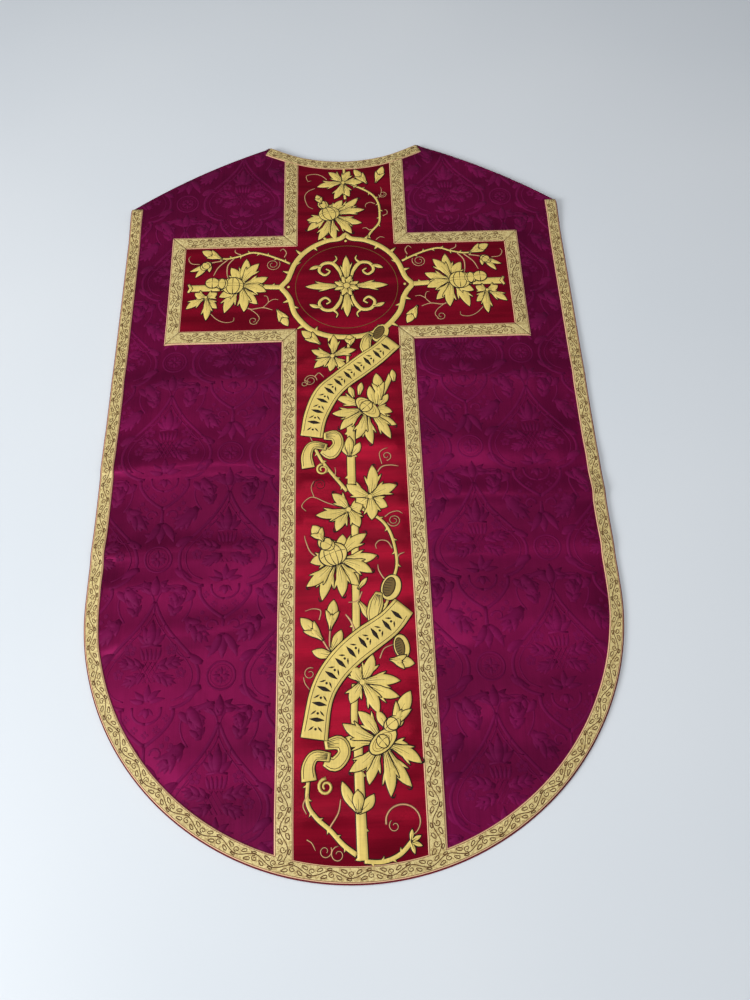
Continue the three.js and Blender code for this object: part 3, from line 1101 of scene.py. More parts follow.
def crossed(line, y):
    """The line with a point added wherever it crosses that height."""
    made = [line[0]]
    for a, b in zip(line, line[1:]):
        if (a[1] - y) * (b[1] - y) < 0:
            made.append(a + (b - a) * (y - a[1]) / (b[1] - a[1]))
        made.append(b)
    return np.array(made)


def cut_line(line, low, high):
    """The part of a line that runs between two heights, in order."""
    line = resampled(line, 2)
    line = crossed(line, low)
    line = crossed(line, high)
    keep = (line[:, 1] >= low - 1e-6) & (line[:, 1] <= high + 1e-6)
    runs = np.flatnonzero(np.diff(keep.astype(int)))
    edges = np.r_[0, runs + 1, len(line)]
    parts = [line[a:b] for a, b in zip(edges, edges[1:]) if keep[a] and b - a > 2]
    return parts


def cross_braid(side):
    """The galloon down one side of the cross: runs between its corners, with mitred ends."""
    x0, x1 = BAND_HALF, PILLAR_HALF
    inner = [(x0, TOP_Y), (x0, ARM_TOP - GALLOON), (ARM_REACH - GALLOON, ARM_TOP - GALLOON),
             (ARM_REACH - GALLOON, ARM_BOTTOM + GALLOON), (x0, ARM_BOTTOM + GALLOON), (x0, SPLIT_Y)]
    outer = [(x1, TOP_Y), (x1, ARM_TOP), (ARM_REACH, ARM_TOP), (ARM_REACH, ARM_BOTTOM),
             (x1, ARM_BOTTOM), (x1, SPLIT_Y)]
    inner = np.array(inner, float) * (side, 1)
    outer = np.array(outer, float) * (side, 1)
    neck = BACK[0]
    top = float(np.interp(BRAID_X, neck[:, 0], neck[:, 1])) - EDGE_GALLOON + 3
    for edge in (inner, outer):
        edge[0, 1] = top
    return inner, outer


def back_braids():
    for side, name in ((-1, "left"), (1, "right")):
        web = Web()
        inner, outer = cross_braid(side)
        for k in range(len(inner) - 1):
            a, b = inner[k: k + 2], outer[k: k + 2]
            if side < 0:
                a, b = b, a
            mitred = (k > 0, k < len(inner) - 2)
            middle = (a + b) / 2
            braid(web, middle, GALLOON, mitred, (b, a))
        for seam in list(zip(inner, outer))[1:-1]:
            web.thread(resampled(seam, 4), 0.9, 0.14, "braid_line")
        piece = place(web, f"back_cross_galloon_{name}_upper", Z["back", "trim"][1])
        upper(piece)
        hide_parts(f"back_galloon_{name}_yoke", f"back_cross_galloon_{name}")

        x = BRAID_X * side
        foot = hem_height(x, LIP + EDGE_GALLOON - 3)
        web = Web()
        line = np.array([(x, SPLIT_Y), (x, foot)])
        braid(web, resampled(line, 5), GALLOON)
        piece = place(web, f"back_cross_galloon_{name}_lower", Z["back", "trim"][1])
        lower(piece)
        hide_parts(f"back_galloon_{name}_hem")


def hem_height(x, inward, side=BACK[1]):
    """Where the hem, moved in by that much, meets a line down the garment."""
    line = inset(side, inward)
    low = line[line[:, 1] < FOLD_Y]
    order = np.argsort(low[:, 0])
    return float(np.interp(x, low[order, 0], low[order, 1]))


def edge_braids():
    """The galloon along the sides, the hem and the neck of the back."""
    middle = inset(BACK[1], LIP + EDGE_GALLOON / 2)
    base = Z["back", "trim"][1]
    for part in cut_line(middle, SPLIT_Y, SHOULDER_Y + 5):
        name = "right" if part[0][0] > 0 else "left"
        web = Web()
        braid(web, part, EDGE_GALLOON)
        piece = place(web, f"back_edge_galloon_{name}_upper", base)
        upper(piece)
        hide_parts(f"back_edge_galloon_{name}")
    web = Web()
    for part in cut_line(middle, BOTTOM_Y, SPLIT_Y):
        braid(web, part, EDGE_GALLOON)
    piece = place(web, "back_edge_galloon_lower", base)
    lower(piece)
    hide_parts("back_edge_galloon_hem")
    web = Web()
    neck = resampled(inset(BACK[0], EDGE_GALLOON / 2), 3)
    braid(web, neck[1:-1], EDGE_GALLOON)
    piece = place(web, "back_neck_galloon_band", base + 0.25)
    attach(piece, "front_and_yoke")
    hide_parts("back_neck_galloon")


def front_braids():
    """The same galloons on the front, which faces the table."""
    base = Z["front", "trim"][0] + 0.25
    middle = inset(FRONT[1], LIP + EDGE_GALLOON / 2)
    for name, side in (("left", -1), ("right", 1)):
        x = BRAID_X * side
        web = Web()
        neck = FRONT[0][(FRONT[0][:, 1] < TOP_Y - 60) & (FRONT[0][:, 0] >= 0)]
        top = float(np.interp(abs(x), neck[:, 0], neck[:, 1])) - 40
        foot = hem_height(x, LIP + EDGE_GALLOON - 3, FRONT[1])
        braid(web, resampled(np.array([(x, top), (x, foot)]), 5), GALLOON)
        piece = place(web, f"front_galloon_{name}_band", base, flat, down=True)
        fronted(piece)
        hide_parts(f"front_galloon_{name}_panel", f"front_galloon_{name}_hem")
    web = Web()
    braid(web, resampled(middle, 4), EDGE_GALLOON)
    piece = place(web, "front_edge_galloon_band", base - 0.05, flat, down=True)
    fronted(piece)
    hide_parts("front_edge_galloon_left", "front_edge_galloon_right", "front_edge_galloon_hem")
    web = Web()
    braid(web, resampled(inset(FRONT[0], EDGE_GALLOON / 2), 3)[2:-2], EDGE_GALLOON)
    piece = place(web, "front_neck_galloon_band", base - 0.05, flat, down=True)
    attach(piece, "front_and_yoke")
    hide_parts("front_neck_galloon")
    z = Z["front", "trim"]
    piece = slab("front_orphrey_sheet", filled(pillar_outline(FRONT)), everywhere, (z[0] + 0.3, z[1]),
                 "crimson_satin", flat)
    fronted(piece)
    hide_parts("front_orphrey_panel", "front_orphrey_hem")


UNDER_BRAID = 1.5  # how far the satin runs on under its galloon


def pillar_outline(panel):
    """The pillar's satin: straight sides under the galloons, with the neck's and the hem's curves."""
    half = BAND_HALF + UNDER_BRAID
    neck = inset(panel[0], 4)
    hem = inset(panel[1], LIP + 4)
    low_neck = neck[np.abs(neck[:, 0]) < half - 1]
    top = [(-half, float(np.interp(-half, neck[:, 0], neck[:, 1]))), *low_neck,
           (half, float(np.interp(half, neck[:, 0], neck[:, 1])))]
    low_hem = hem[(np.abs(hem[:, 0]) < half - 1) & (hem[:, 1] < FOLD_Y)]
    foot = [(half, hem_height(half, LIP + 4, panel[1])), *low_hem,
            (-half, hem_height(-half, LIP + 4, panel[1]))]
    return np.array([*top, *foot], float)


def orphreys():
    """The crimson satin of the cross."""
    mesh = filled(pillar_outline(BACK), [SPLIT_Y])
    z = Z["back", "trim"]
    heights = (z[0] - 0.1, z[1] - 0.35)
    top = slab("back_orphrey_upper", mesh, above, heights, "crimson_satin")
    upper(top)
    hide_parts("back_orphrey_yoke", "back_orphrey_pillar")
    foot = slab("back_orphrey_lower", mesh, below, heights, "crimson_satin")
    lower(foot)
    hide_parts("back_orphrey_hem")
    x0, x1 = BAND_HALF - 0.6, ARM_REACH - GALLOON + UNDER_BRAID
    y0, y1 = ARM_BOTTOM + GALLOON - UNDER_BRAID, ARM_TOP - GALLOON + UNDER_BRAID
    for side, name in ((-1, "left"), (1, "right")):
        corners = np.array([(x0, y1), (x1, y1), (x1, y0), (x0, y0)]) * (side, 1)
        piece = slab(f"back_orphrey_arm_{name}_satin", filled(corners), everywhere,
                     (heights[0], heights[1] + PROUD), "crimson_satin")
        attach(piece, "back_panel")
        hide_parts(f"back_orphrey_arm_{name}")


# ---- embroidery: laid gold silk with a dark line round each piece ----

RIM = 1.2  # dark line showing round a gold piece
LAY = 0.13  # rise from one laid piece to the next over it
PETAL_AT = (0, 0.12, 0.32, 0.55, 0.76, 0.9, 1)
PETAL_WIDE = (0.34, 0.46, 0.74, 1.0, 0.8, 0.42, 0.03)


def xy(*points):
    return [np.array(p, float) for p in points]


def rimmed(web, line, width, lift, ink="gold_silk", columns=4, crown=0.0, rim=RIM, closed=False):
    """A gold strip on a slightly wider dark one."""
    line = np.asarray(line, float)
    width = np.broadcast_to(np.asarray(width, float), len(line))
    under = line.copy()
    if not closed:
        ends = unit(np.array([line[0] - line[1], line[-1] - line[-2]])) * rim
        under = np.vstack([line[0] + ends[0], line, line[-1] + ends[1]])
        width_under = np.r_[width[0], width, width[-1]] + 2 * rim
        width_under[[0, -1]] *= 0.7
    else:
        width_under = width + 2 * rim
    web.strand(under, width_under, lift, "outline", closed=closed)
    web.strand(line, width, lift + LAY, ink, crown, columns, closed)


def petal(web, base, tip, width, bend=0.0, lift=0.0, barbs=True, veins=2, hook=0.0, ink="gold_silk"):
    """A pointed petal or leaf, with a vein, small side points and a dark curl beyond its tip."""
    base, tip = xy(base, tip)
    way = unit(tip - base)
    side = np.array((-way[1], way[0]))
    size = float(np.linalg.norm(tip - base))
    line = bezier(base, (base + tip) / 2 + side * bend, tip, steps=10)
    t = np.linspace(0, 1, len(line))
    wide = width * np.interp(t, PETAL_AT, PETAL_WIDE)
    if hook:
        curl = bezier(tip - way * 2, tip + way * 3.4, tip + way * 3 + side * hook,
                      tip - way * 2.5 + side * hook * 1.1, steps=8)
        web.strand(curl, np.interp(np.linspace(0, 1, 9), (0, 0.4, 1), (2.8, 2.4, 0.6)),
                   lift + 0.02, "outline")
    if barbs and size > 14:
        for sign, at in ((1, 0.5), (-1, 0.6)):
            root = line[round(at * 10) - 2]
            out = root + way * size * 0.34 + side * sign * width * 0.72
            rimmed(web, bezier(root, (root + out) / 2 + side * sign * width * 0.14, out, steps=4),
                   [width * 0.5, width * 0.42, width * 0.3, width * 0.16, 0.2], lift)
    rimmed(web, line, wide, lift, ink, columns=5, crown=0.1)
    if veins:
        web.thread(line[:7], np.linspace(1.5, 0.5, 7), lift + LAY + 0.16)
    if veins > 1 and size > 12:
        for sign in (1, -1):
            vein = line[:5] + side * sign * width * np.array([[0.08], [0.12], [0.16], [0.19], [0.2]])
            web.thread(vein, np.linspace(1.1, 0.4, 5), lift + LAY + 0.15)
            vein = line[1:4] + side * sign * width * np.array([[0.18], [0.27], [0.34]])
            web.thread(vein, [0.9, 0.7, 0.4], lift + LAY + 0.13)


def leaf(web, base, tip, width, bend, lift, veins=1):
    """A petal without side points."""
    petal(web, base, tip, width, bend, lift, False, veins)


def flower(web, centre, tips, width, lift=0.0, core=0.0, hooks=(), inner=0.0, veins=2):
    """Petals round a centre, alternately under and over, with hooks at those tips."""
    centre = np.array(centre, float)
    for layer in (0, 1):
        for k, tip in enumerate(tips):
            if k % 2 != layer:
                continue
            tip = np.array(tip, float)
            way = unit(tip - centre)
            bend = 0.09 * np.linalg.norm(tip - centre) * (1 if k % 2 else -1)
            curl = 5.2 * (1 if (k % 2) else -1) if k in hooks else 0.0
            petal(web, centre + way * inner, tip, width * 0.8, bend, lift + layer * 2.4 * LAY,
                  True, veins, curl)
    if core:
        top = lift + 4 * LAY
        web.disc(centre, core + RIM * 0.8, top, "outline")
        web.disc(centre, core, top + LAY, crown=0.15)


def globe(web, centre, radii, turn=0.0, lift=0.6, ribs=3, rounds=1):
    """A plump seed head drawn with curved lines."""
    rx, ry = (radii, radii) if np.isscalar(radii) else radii
    web.disc(centre, (rx + RIM, ry + RIM), lift, "outline", turn, steps=24)
    web.disc(centre, (rx, ry), lift + LAY, "gold_silk", turn, crown=0.2, steps=24)
    c, s = math.cos(math.radians(turn)), math.sin(math.radians(turn))
    a = np.linspace(-PI / 2 * 0.94, PI / 2 * 0.94, 10)
    for k in range(ribs):
        share = -0.62 + 1.24 * k / max(1, ribs - 1) if ribs > 1 else 0.0
        x = rx * share * np.cos(a)
        y = ry * np.sin(a)
        web.thread(np.c_[centre[0] + x * c - y * s, centre[1] + x * s + y * c], 1.2,
                   lift + LAY + 0.24)
    for k in range(rounds):
        y = ry * (-0.3 + 0.6 * (k + 0.5) / rounds) + ry * 0.16 * np.cos(a)
        x = rx * np.sin(a) * 0.9
        web.thread(np.c_[centre[0] + x * c - y * s, centre[1] + x * s + y * c], 0.7,
                   lift + LAY + 0.26)


def tilted_disc(web, centre, radii, turn, lift):
    """A flower's flat heart seen from the side, with rings drawn on it."""
    web.disc(centre, (radii[0] + RIM, radii[1] + RIM), lift, "outline", turn, steps=24)
    web.disc(centre, radii, lift + LAY, "gold_silk", turn, crown=0.15, steps=24)
    c, s = math.cos(math.radians(turn)), math.sin(math.radians(turn))
    a = np.linspace(0, 2 * PI, 21)[:-1]
    for share in (0.34, 0.52, 0.7):
        x = radii[0] * share * np.cos(a) - radii[0] * 0.06
        y = radii[1] * share * np.sin(a)
        web.thread(np.c_[centre[0] + x * c - y * s, centre[1] + x * s + y * c], 0.7,
                   lift + LAY + 0.22, "shading", closed=True)


def bud(web, base, tip, width, lift):
    """A closed bud in its sepals."""
    base, tip = xy(base, tip)
    way = unit(tip - base)
    side = np.array((-way[1], way[0]))
    size = float(np.linalg.norm(tip - base))
    leaf(web, base + way * size * 0.18, tip, width, 0, lift, 2)
    for sign in (1, -1):
        out = base + way * size * 0.62 + side * sign * width * 0.62
        leaf(web, base, out, width * 0.5, -sign * width * 0.28, lift + 2 * LAY)
    leaf(web, base - way * 0.5, base + way * size * 0.5, width * 0.42, 0, lift + 3 * LAY)


def stem(web, points, width, lift=0.0, thorns=0, taper=1.0, rim=RIM):
    """A smooth stalk; thorns is the spacing of its thorns, which change sides."""
    line = smooth_line(points, 3)
    wide = np.linspace(width, width * taper, len(line))
    at = lengths(line)
    if thorns:
        along = unit(np.gradient(line, axis=0))
        side = np.c_[-along[:, 1], along[:, 0]]
        for k, s in enumerate(np.arange(thorns * 0.6, at[-1] - 3, thorns)):
            i = int(np.searchsorted(at, s))
            sign = 1 if k % 2 else -1
            root = line[i] - along[i] * 1.5
            tip = line[i] + side[i] * sign * (width * 0.5 + 3.2) + along[i] * 2.2
            rimmed(web, np.array([root, (root + tip) / 2 + along[i] * 0.6, tip]),
                   [width * 0.8, width * 0.55, 0.3], lift - 0.02, rim=rim * 0.8)
    rimmed(web, line, wide, lift, rim=rim)


def tendril(web, points, width=1.5, lift=0.1):
    line = smooth_line(points, 2.2)
    wide = np.interp(np.linspace(0, 1, len(line)), (0, 0.7, 1), (width, width * 0.85, width * 0.5))
    web.thread(line, wide + 0.7, lift - 0.07)
    web.thread(line, wide, lift + 0.16, "tendril")


def coil(web, centre, radius, start=0.0, turns=1.7, way=1, width=1.3, lift=0.12, ink="tendril"):
    """A spiral, wound inwards from its starting angle in degrees."""
    n = round(16 * turns)
    a = np.linspace(0, turns * 2 * PI, n)
    r = radius * (1 - 0.72 * a / a[-1])
    angle = math.radians(start) + way * a
    line = np.c_[centre[0] + r * np.cos(angle), centre[1] + r * np.sin(angle)]
    if ink == "tendril":
        web.thread(line, width + 0.7, lift - 0.07)
    web.thread(line, np.linspace(width, width * 0.6, n), lift + 0.16, ink)


def lily(web, base, left, right, top, width, lift=0.35):
    """The flared end of a cut trunk, with a hook to each side."""
    for tip, bend in ((left, 4), (right, -4)):
        leaf(web, base, tip, width * 0.62, bend, lift)
    leaf(web, base, top, width * 0.7, 0, lift + 2 * LAY, 2)


def ribbon(web, outer, inner, lift):
    """A scroll band between two edges, bordered inside, with a row of plain lozenges along it."""
    outer, inner = smooth_line(outer, 4), smooth_line(inner, 4)
    n = max(len(outer), len(inner))
    outer, inner = resampled_to(outer, n), resampled_to(inner, n)
    middle = (outer + inner) / 2
    wide = np.linalg.norm(outer - inner, axis=1)
    rimmed(web, middle, wide, lift, columns=7)
    top = lift + LAY + 0.14
    for share in (0.1, 0.9):
        edge = outer * (1 - share) + inner * share
        web.thread(edge[1:-1], 0.8, top)
    at = lengths(middle)
    along = unit(np.gradient(middle, axis=0))
    side = np.c_[-along[:, 1], along[:, 0]]
    for k, s in enumerate(np.arange(14, at[-1] - 8, 9.5)):
        i = int(np.clip(np.searchsorted(at, s), 1, n - 2))
        c, d, e = middle[i], along[i], side[i]
        if k % 2 == 0:
            line = np.array([c - e * 9.4, c - e * 4, c, c + e * 4, c + e * 9.4])
            web.strand(line, [0.4, 4.2, 6.0, 4.2, 0.4], top, "outline")
        else:
            for sign in (1, -1):
                arc = np.array([c + e * sign * 2.6 - d * 3, c + e * sign * 5 - d * 0.6,
                                c + e * sign * 8.4 + d * 2.4])
                web.strand(arc, [0.6, 2.8, 0.6], top, "outline")
            web.disc(c, 1.7, top, "outline", steps=8)


def turned_back(web, centre, radii, turn, lift):
    """The shaded inside of a scroll's curl."""
    web.disc(centre, (radii[0] + RIM, radii[1] + RIM), lift, "outline", turn, steps=20)
    web.disc(centre, radii, lift + LAY, "gold_silk", turn, steps=20)
    c, s = math.cos(math.radians(turn)), math.sin(math.radians(turn))
    hollow = (centre[0] - radii[0] * 0.2 * c, centre[1] - radii[0] * 0.2 * s)
    web.disc(hollow, (radii[0] * 0.66, radii[1] * 0.8), lift + 2 * LAY, "outline", turn, steps=20)
    web.disc(hollow, (radii[0] * 0.56, radii[1] * 0.72), lift + 3 * LAY, "olive", turn, steps=20)
    for k in range(6):
        y = radii[1] * (-0.55 + 0.2 * k)
        x = radii[0] * 0.5 * math.sqrt(1 - (y / radii[1] / 0.72) ** 2)
        ends = np.array([(-x, y), (x * 0.4, y + 1.5)])
        ex, ey = ends.T
        web.thread(np.c_[hollow[0] + ex * c - ey * s, hollow[1] + ex * s + ey * c],
                   [0.9, 0.4], lift + 3 * LAY + 0.14)


def fold_end(web, points, widths, lift):
    """A scroll's tail: a band that folds over itself."""
    line = smooth_line(points, 3)
    wide = np.interp(np.linspace(0, 1, len(line)), np.linspace(0, 1, len(widths)), widths)
    rimmed(web, line, wide, lift, columns=6, rim=1.1)
    at = unit(np.gradient(line, axis=0))
    side = np.c_[-at[:, 1], at[:, 0]]
    for share in (-0.34, 0.34):
        web.thread((line + side * wide[:, None] * share)[1:-1], 0.8, lift + LAY + 0.14)
    for k, share in enumerate((-0.2, -0.07, 0.07, 0.2)):
        run = (line + side * wide[:, None] * share)[1:5 + k % 2 * 2]
        web.thread(run, np.linspace(1.3, 0.3, len(run)), lift + LAY + 0.16)


def top_spray():
    """The flowers between the neck and the medallion."""
    w = Web()
    stem(w, [(0, 530), (0, 500), (-1, 476), (1, 450)], 4, 0, 0)
    stem(w, [(9, 484), (37, 467), (50, 452), (56, 435), (57, 415), (55, 395), (42, 377), (34, 362)],
         3.6, 0.05, 15)
    tendril(w, [(-29, 494), (-38, 503), (-50, 507), (-63, 503), (-61, 491), (-55, 492)])
    tendril(w, [(-49, 475), (-60, 468), (-66, 455), (-61, 435), (-52, 428)])
    coil(w, (64, 457), 7, 180, 1.6)
    tendril(w, [(50, 437), (42, 441), (35, 437), (34, 430)])
    tendril(w, [(62, 410), (69, 414), (69, 421), (65, 423)])
    tendril(w, [(58, 450), (62, 466), (60, 474)], 1.2)
    tendril(w, [(49, 360), (56, 366), (63, 364)])
    tendril(w, [(40, 380), (33, 386), (28, 384)])
    flower(w, (-2, 486), [(-45, 478), (-17, 451), (8, 456), (30, 486), (-26, 510), (10, 511)], 16, 0.3, 3)
    bud(w, (38, 483), (17, 515), 13, 0.5)
    bud(w, (53, 484), (66, 520), 13, 0.5)
    flower(w, (-22, 414), [(22, 452), (32, 424), (27, 396), (10, 374), (-16, 362), (-44, 362), (-61, 382),
                           (-62, 404), (-34, 440), (-4, 447)], 17, 0.3, inner=6, hooks=(0, 3, 6))
    globe(w, (-26, 417), (17, 15), 20, 1.0, 3, 2)
    globe(w, (-36, 437), (8.5, 9), 10, 1.3, 2, 1)
    bud(w, (-39, 440), (-46, 458), 10, 1.6)
    return w


MEDALLION_Y = 269  # height of its middle


def medallion():
    """The thorny ring and, inside it, a leaf cross with plain scrollwork."""
    w = Web()
    mid = MEDALLION_Y
    right = [(0, 373), (9, 364), (30, 360), (52, 349), (70, 333), (82, 314), (88, 297), (93, 283),
             (102, 270), (94, 257), (88, 245), (85, 232), (80, 217), (66, 197), (50, 184), (27, 175),
             (0, 172)]
    half = smooth_line(right, 3)
    ring = np.vstack([half, (half * (-1, 1))[::-1][1:-1]])
    rimmed(w, ring, 8.2, 0.2, closed=True)
    a = np.linspace(0, 2 * PI, 73)[:-1]
    w.thread(np.c_[80 * np.cos(a), mid + 80 * np.sin(a)], 0.9, 0.12, "shading", closed=True)
    for x, y, tx, ty in ((88, 297, 100, 301), (88, 245, 99, 240), (70, 333, 80, 343), (66, 197, 77, 190),
                         (30, 360, 37, 370), (82, 314, 72, 318), (85, 232, 75, 229), (50, 184, 46, 193),
                         (52, 349, 46, 341), (27, 175, 30, 165)):
        for sign in (1, -1):
            rimmed(w, xy((x * sign, y), ((x + tx) / 2 * sign, (y + ty) / 2), (tx * sign, ty)),
                   [6, 4.2, 0.4], 0.18)
    for x, y in ((91, 270), (-91, 270), (0, 359)):
        w.disc((x, y), 3.1, 0.1, "outline", steps=10)
        w.disc((x, y), 2.2, 0.25, steps=10)
    for sx in (1, -1):
        for sy in (1, -1):
            arm = [(sx * 7, mid + sy * 13), (sx * 11, mid + sy * 30), (sx * 22, mid + sy * 45),
                   (sx * 37, mid + sy * 44), (sx * 43, mid + sy * 31), (sx * 34, mid + sy * 22),
                   (sx * 26, mid + sy * 29), (sx * 32, mid + sy * 34)]
            line = smooth_line(arm, 2.4)
            rimmed(w, line, np.interp(np.linspace(0, 1, len(line)), (0, 0.25, 0.8, 1), (3, 6.4, 4.2, 2.2)),
                   0.35)
            stub = smooth_line([(sx * 22, mid + sy * 45), (sx * 15, mid + sy * 53), (sx * 17, mid + sy * 60)])
            rimmed(w, stub, np.linspace(4.4, 1.4, len(stub)), 0.33)
            leaf(w, (sx * 40, mid + sy * 40), (sx * 58, mid + sy * 34), 7, sx * sy * 2, 0.33)
    for tip, base in (((0, 328), (0, 276)), ((0, 210), (0, 262)), ((64, mid), (7, mid)),
                      ((-64, mid), (-7, mid))):
        petal(w, base, tip, 13, 0, 0.6, True, 2)
    ends = [(20 * math.cos(t), mid + 20 * math.sin(t)) for t in np.radians(np.arange(22.5, 360, 45))]
    flower(w, (0, mid), ends, 10, 0.9, 5)
    return w


def arm_spray():
    """The flower on the left arm; the right arm has it mirrored."""
    w = Web()
    stem(w, [(-245, 272), (-222, 272), (-198, 272)], 12, 0.0)
    rimmed(w, xy((-247, 279.5), (-243, 272), (-247, 264.5)), [3.5, 5, 3.5], 0.2)
    stem(w, [(-140, 273), (-120, 271), (-100, 270)], 8.4, 0.1, 14)
    stem(w, [(-89, 316), (-105, 325), (-130, 336), (-150, 340), (-167, 334), (-187, 329), (-200, 330)],
         3.6, 0.05, 15, 0.8)
    tendril(w, [(-178, 329), (-187, 316), (-188, 300), (-186, 290)], 2.4)
    tendril(w, [(-188, 327), (-202, 312), (-209, 296)], 2.4)
    tendril(w, [(-196, 325), (-212, 322), (-224, 318)], 2.4)
    tendril(w, [(-167, 336), (-176, 341), (-177, 347)], 2)
    coil(w, (-116, 315), 11.5, 30, 1.8, -1)
    tendril(w, [(-98, 329), (-95, 338), (-100, 346), (-105, 342)], 1.8)
    tendril(w, [(-162, 242), (-150, 230), (-130, 232), (-115, 227)], 2.4)
    tendril(w, [(-130, 232), (-122, 242), (-124, 253), (-129, 254)])
    tendril(w, [(-122, 242), (-114, 247), (-106, 246)])
    tendril(w, [(-150, 230), (-139, 220), (-135, 211), (-140, 203)])
    coil(w, (-144, 208), 7.5, -30, 1.2, -1)
    tendril(w, [(-212, 225), (-200, 212), (-187, 206), (-175, 208), (-174, 215)])
    tendril(w, [(-232, 319), (-245, 321), (-250, 330), (-247, 336)])
    bud(w, (-108, 227), (-91, 196), 13, 0.4)
    bud(w, (-198, 329), (-229, 345), 14, 0.4)
    leaf(w, (-215, 322), (-246, 305), 8, 3, 0.4)
    leaf(w, (-215, 320), (-237, 293), 9, -2, 0.5)
    leaf(w, (-216, 322), (-216, 303), 7, 0, 0.6)
    globe(w, (-222, 315), (9, 7), 40, 0.8, 2, 1)
    flower(w, (-219, 254), [(-248, 233), (-217, 211), (-201, 233), (-236, 262), (-202, 262)], 15, 0.4, 2.4)
    flower(w, (-166, 276), [(-158, 327), (-138, 317), (-124, 290), (-126, 262), (-139, 239), (-159, 225),
                            (-189, 224), (-198, 254), (-182, 310)], 19, 0.3, inner=4)
    globe(w, (-178, 275), (17, 16), 0, 1.0, 3, 2)
    globe(w, (-195, 279), (9, 10), 0, 1.3, 2, 1)
    globe(w, (-210, 281), (10.5, 9.5), 0, 1.5, 1, 1)
    return w


def upper_scroll():
    """Below the medallion: the upper scroll and its flowers, down to the two star flowers."""
    w = Web()
    stem(w, [(2, 172), (0, 150), (-2, 120)], 4, 0)
    bud(w, (-42, 161), (-70, 186), 14, 0.4)
    bud(w, (4, 157), (2, 176), 13, 0.5)
    flower(w, (-24, 138), [(-22, 176), (-55, 150), (-51, 119), (11, 148), (-2, 117), (-28, 112)], 15, 0.35, 3)
    stem(w, [(0, 30), (1, 0), (0, -30), (0, -72)], 11, 0.0, 34)
    lily(w, (-2, -28), (-13, -3), (13, -9), (-2, 2), 18, 0.3)
    stem(w, [(-52, -12), (-40, -36), (-22, -62), (-7, -82)], 4, 0.05, 16, 1.2)
    tendril(w, [(-60, 10), (-54, -4), (-50, -16)])
    tendril(w, [(-24, -62), (-22, -52), (-23, -45)])
    coil(w, (-57, 97), 10, 0, 1.8)
    tendril(w, [(-50, 104), (-44, 110), (-37, 102)])
    coil(w, (-66, 92), 6, 90, 1.1, -1)
    turned_back(w, (49, 178), (12, 17), -30, 0.3)
    fold_end(w, [(36, 178), (28, 166), (26, 152), (30, 142)], [6, 14, 17, 13], 0.45)
    ribbon(w, [(60, 177), (38, 155), (8, 133), (-24, 106), (-50, 80), (-63, 48), (-70, 10)],
           [(73, 149), (52, 127), (25, 104), (0, 84), (-14, 69), (-26, 49), (-36, 25), (-41, -2)], 1.0)
    fold_end(w, [(-38, 4), (-22, 4), (-18, -10), (-28, -24), (-40, -18)], [10, 17, 15, 18, 12], 0.7)
    fold_end(w, [(-34, -14), (-54, -10), (-62, -26), (-60, -45)], [10, 12, 15, 18], 1.0)
    coil(w, (-40, -48), 8.5, 90, 1.4, 1, 3.6, 0.9, "gold_silk")
    flower(w, (25, 47), [(-20, 66), (-25, 40), (-14, 14), (8, -2), (31, -12), (57, -3), (66, 19), (61, 40)],
           17, 0.3, inner=8, hooks=(2, 4, 6))
    leaf(w, (6, 66), (0, 84), 9, 0, 0.5)
    leaf(w, (14, 70), (18, 90), 9, 0, 0.6)
    stem(w, [(44, 64), (54, 84), (62, 104)], 7, 0.4)
    leaf(w, (36, 52), (30, 84), 12, 2, 0.6)
    leaf(w, (40, 54), (46, 86), 13, 0, 0.7)
    leaf(w, (42, 52), (56, 70), 10, -2, 0.6)
    bud(w, (46, 62), (40, 106), 15, 0.5)
    leaf(w, (66, 92), (64, 112), 9, 0, 0.6)
    tilted_disc(w, (26, 48), (22, 11), -46, 1.0)
    globe(w, (24, 50), (8, 10), -46, 1.4, 1, 1)
    coil(w, (50, -30), 7, -90, 1.2)
    tendril(w, [(43, -42), (40, -26), (46, -20), (52, -18)], 1.3)
    tendril(w, [(32, -62), (42, -47), (54, -44), (66, -46)], 2.2)
    coil(w, (-44, -72), 9, 200, 1.6, -1, 1.0, 0.1, "outline")
    tendril(w, [(-7, -108), (-32, -100), (-52, -90), (-62, -93), (-69, -103), (-63, -111)], 1.6)
    tendril(w, [(-52, -90), (-56, -76), (-52, -66)], 1.2)
    flower(w, (25, -92), [(29, -44), (62, -76), (48, -107), (26, -126), (4, -106), (-7, -73)], 20, 0.5, 3.4,
           hooks=(0, 1))
    flower(w, (-5, -110), [(-27, -86), (-49, -118), (-22, -141), (9, -136), (14, -104)], 18, 0.9, 3.4,
           hooks=(0, 2))
    return w


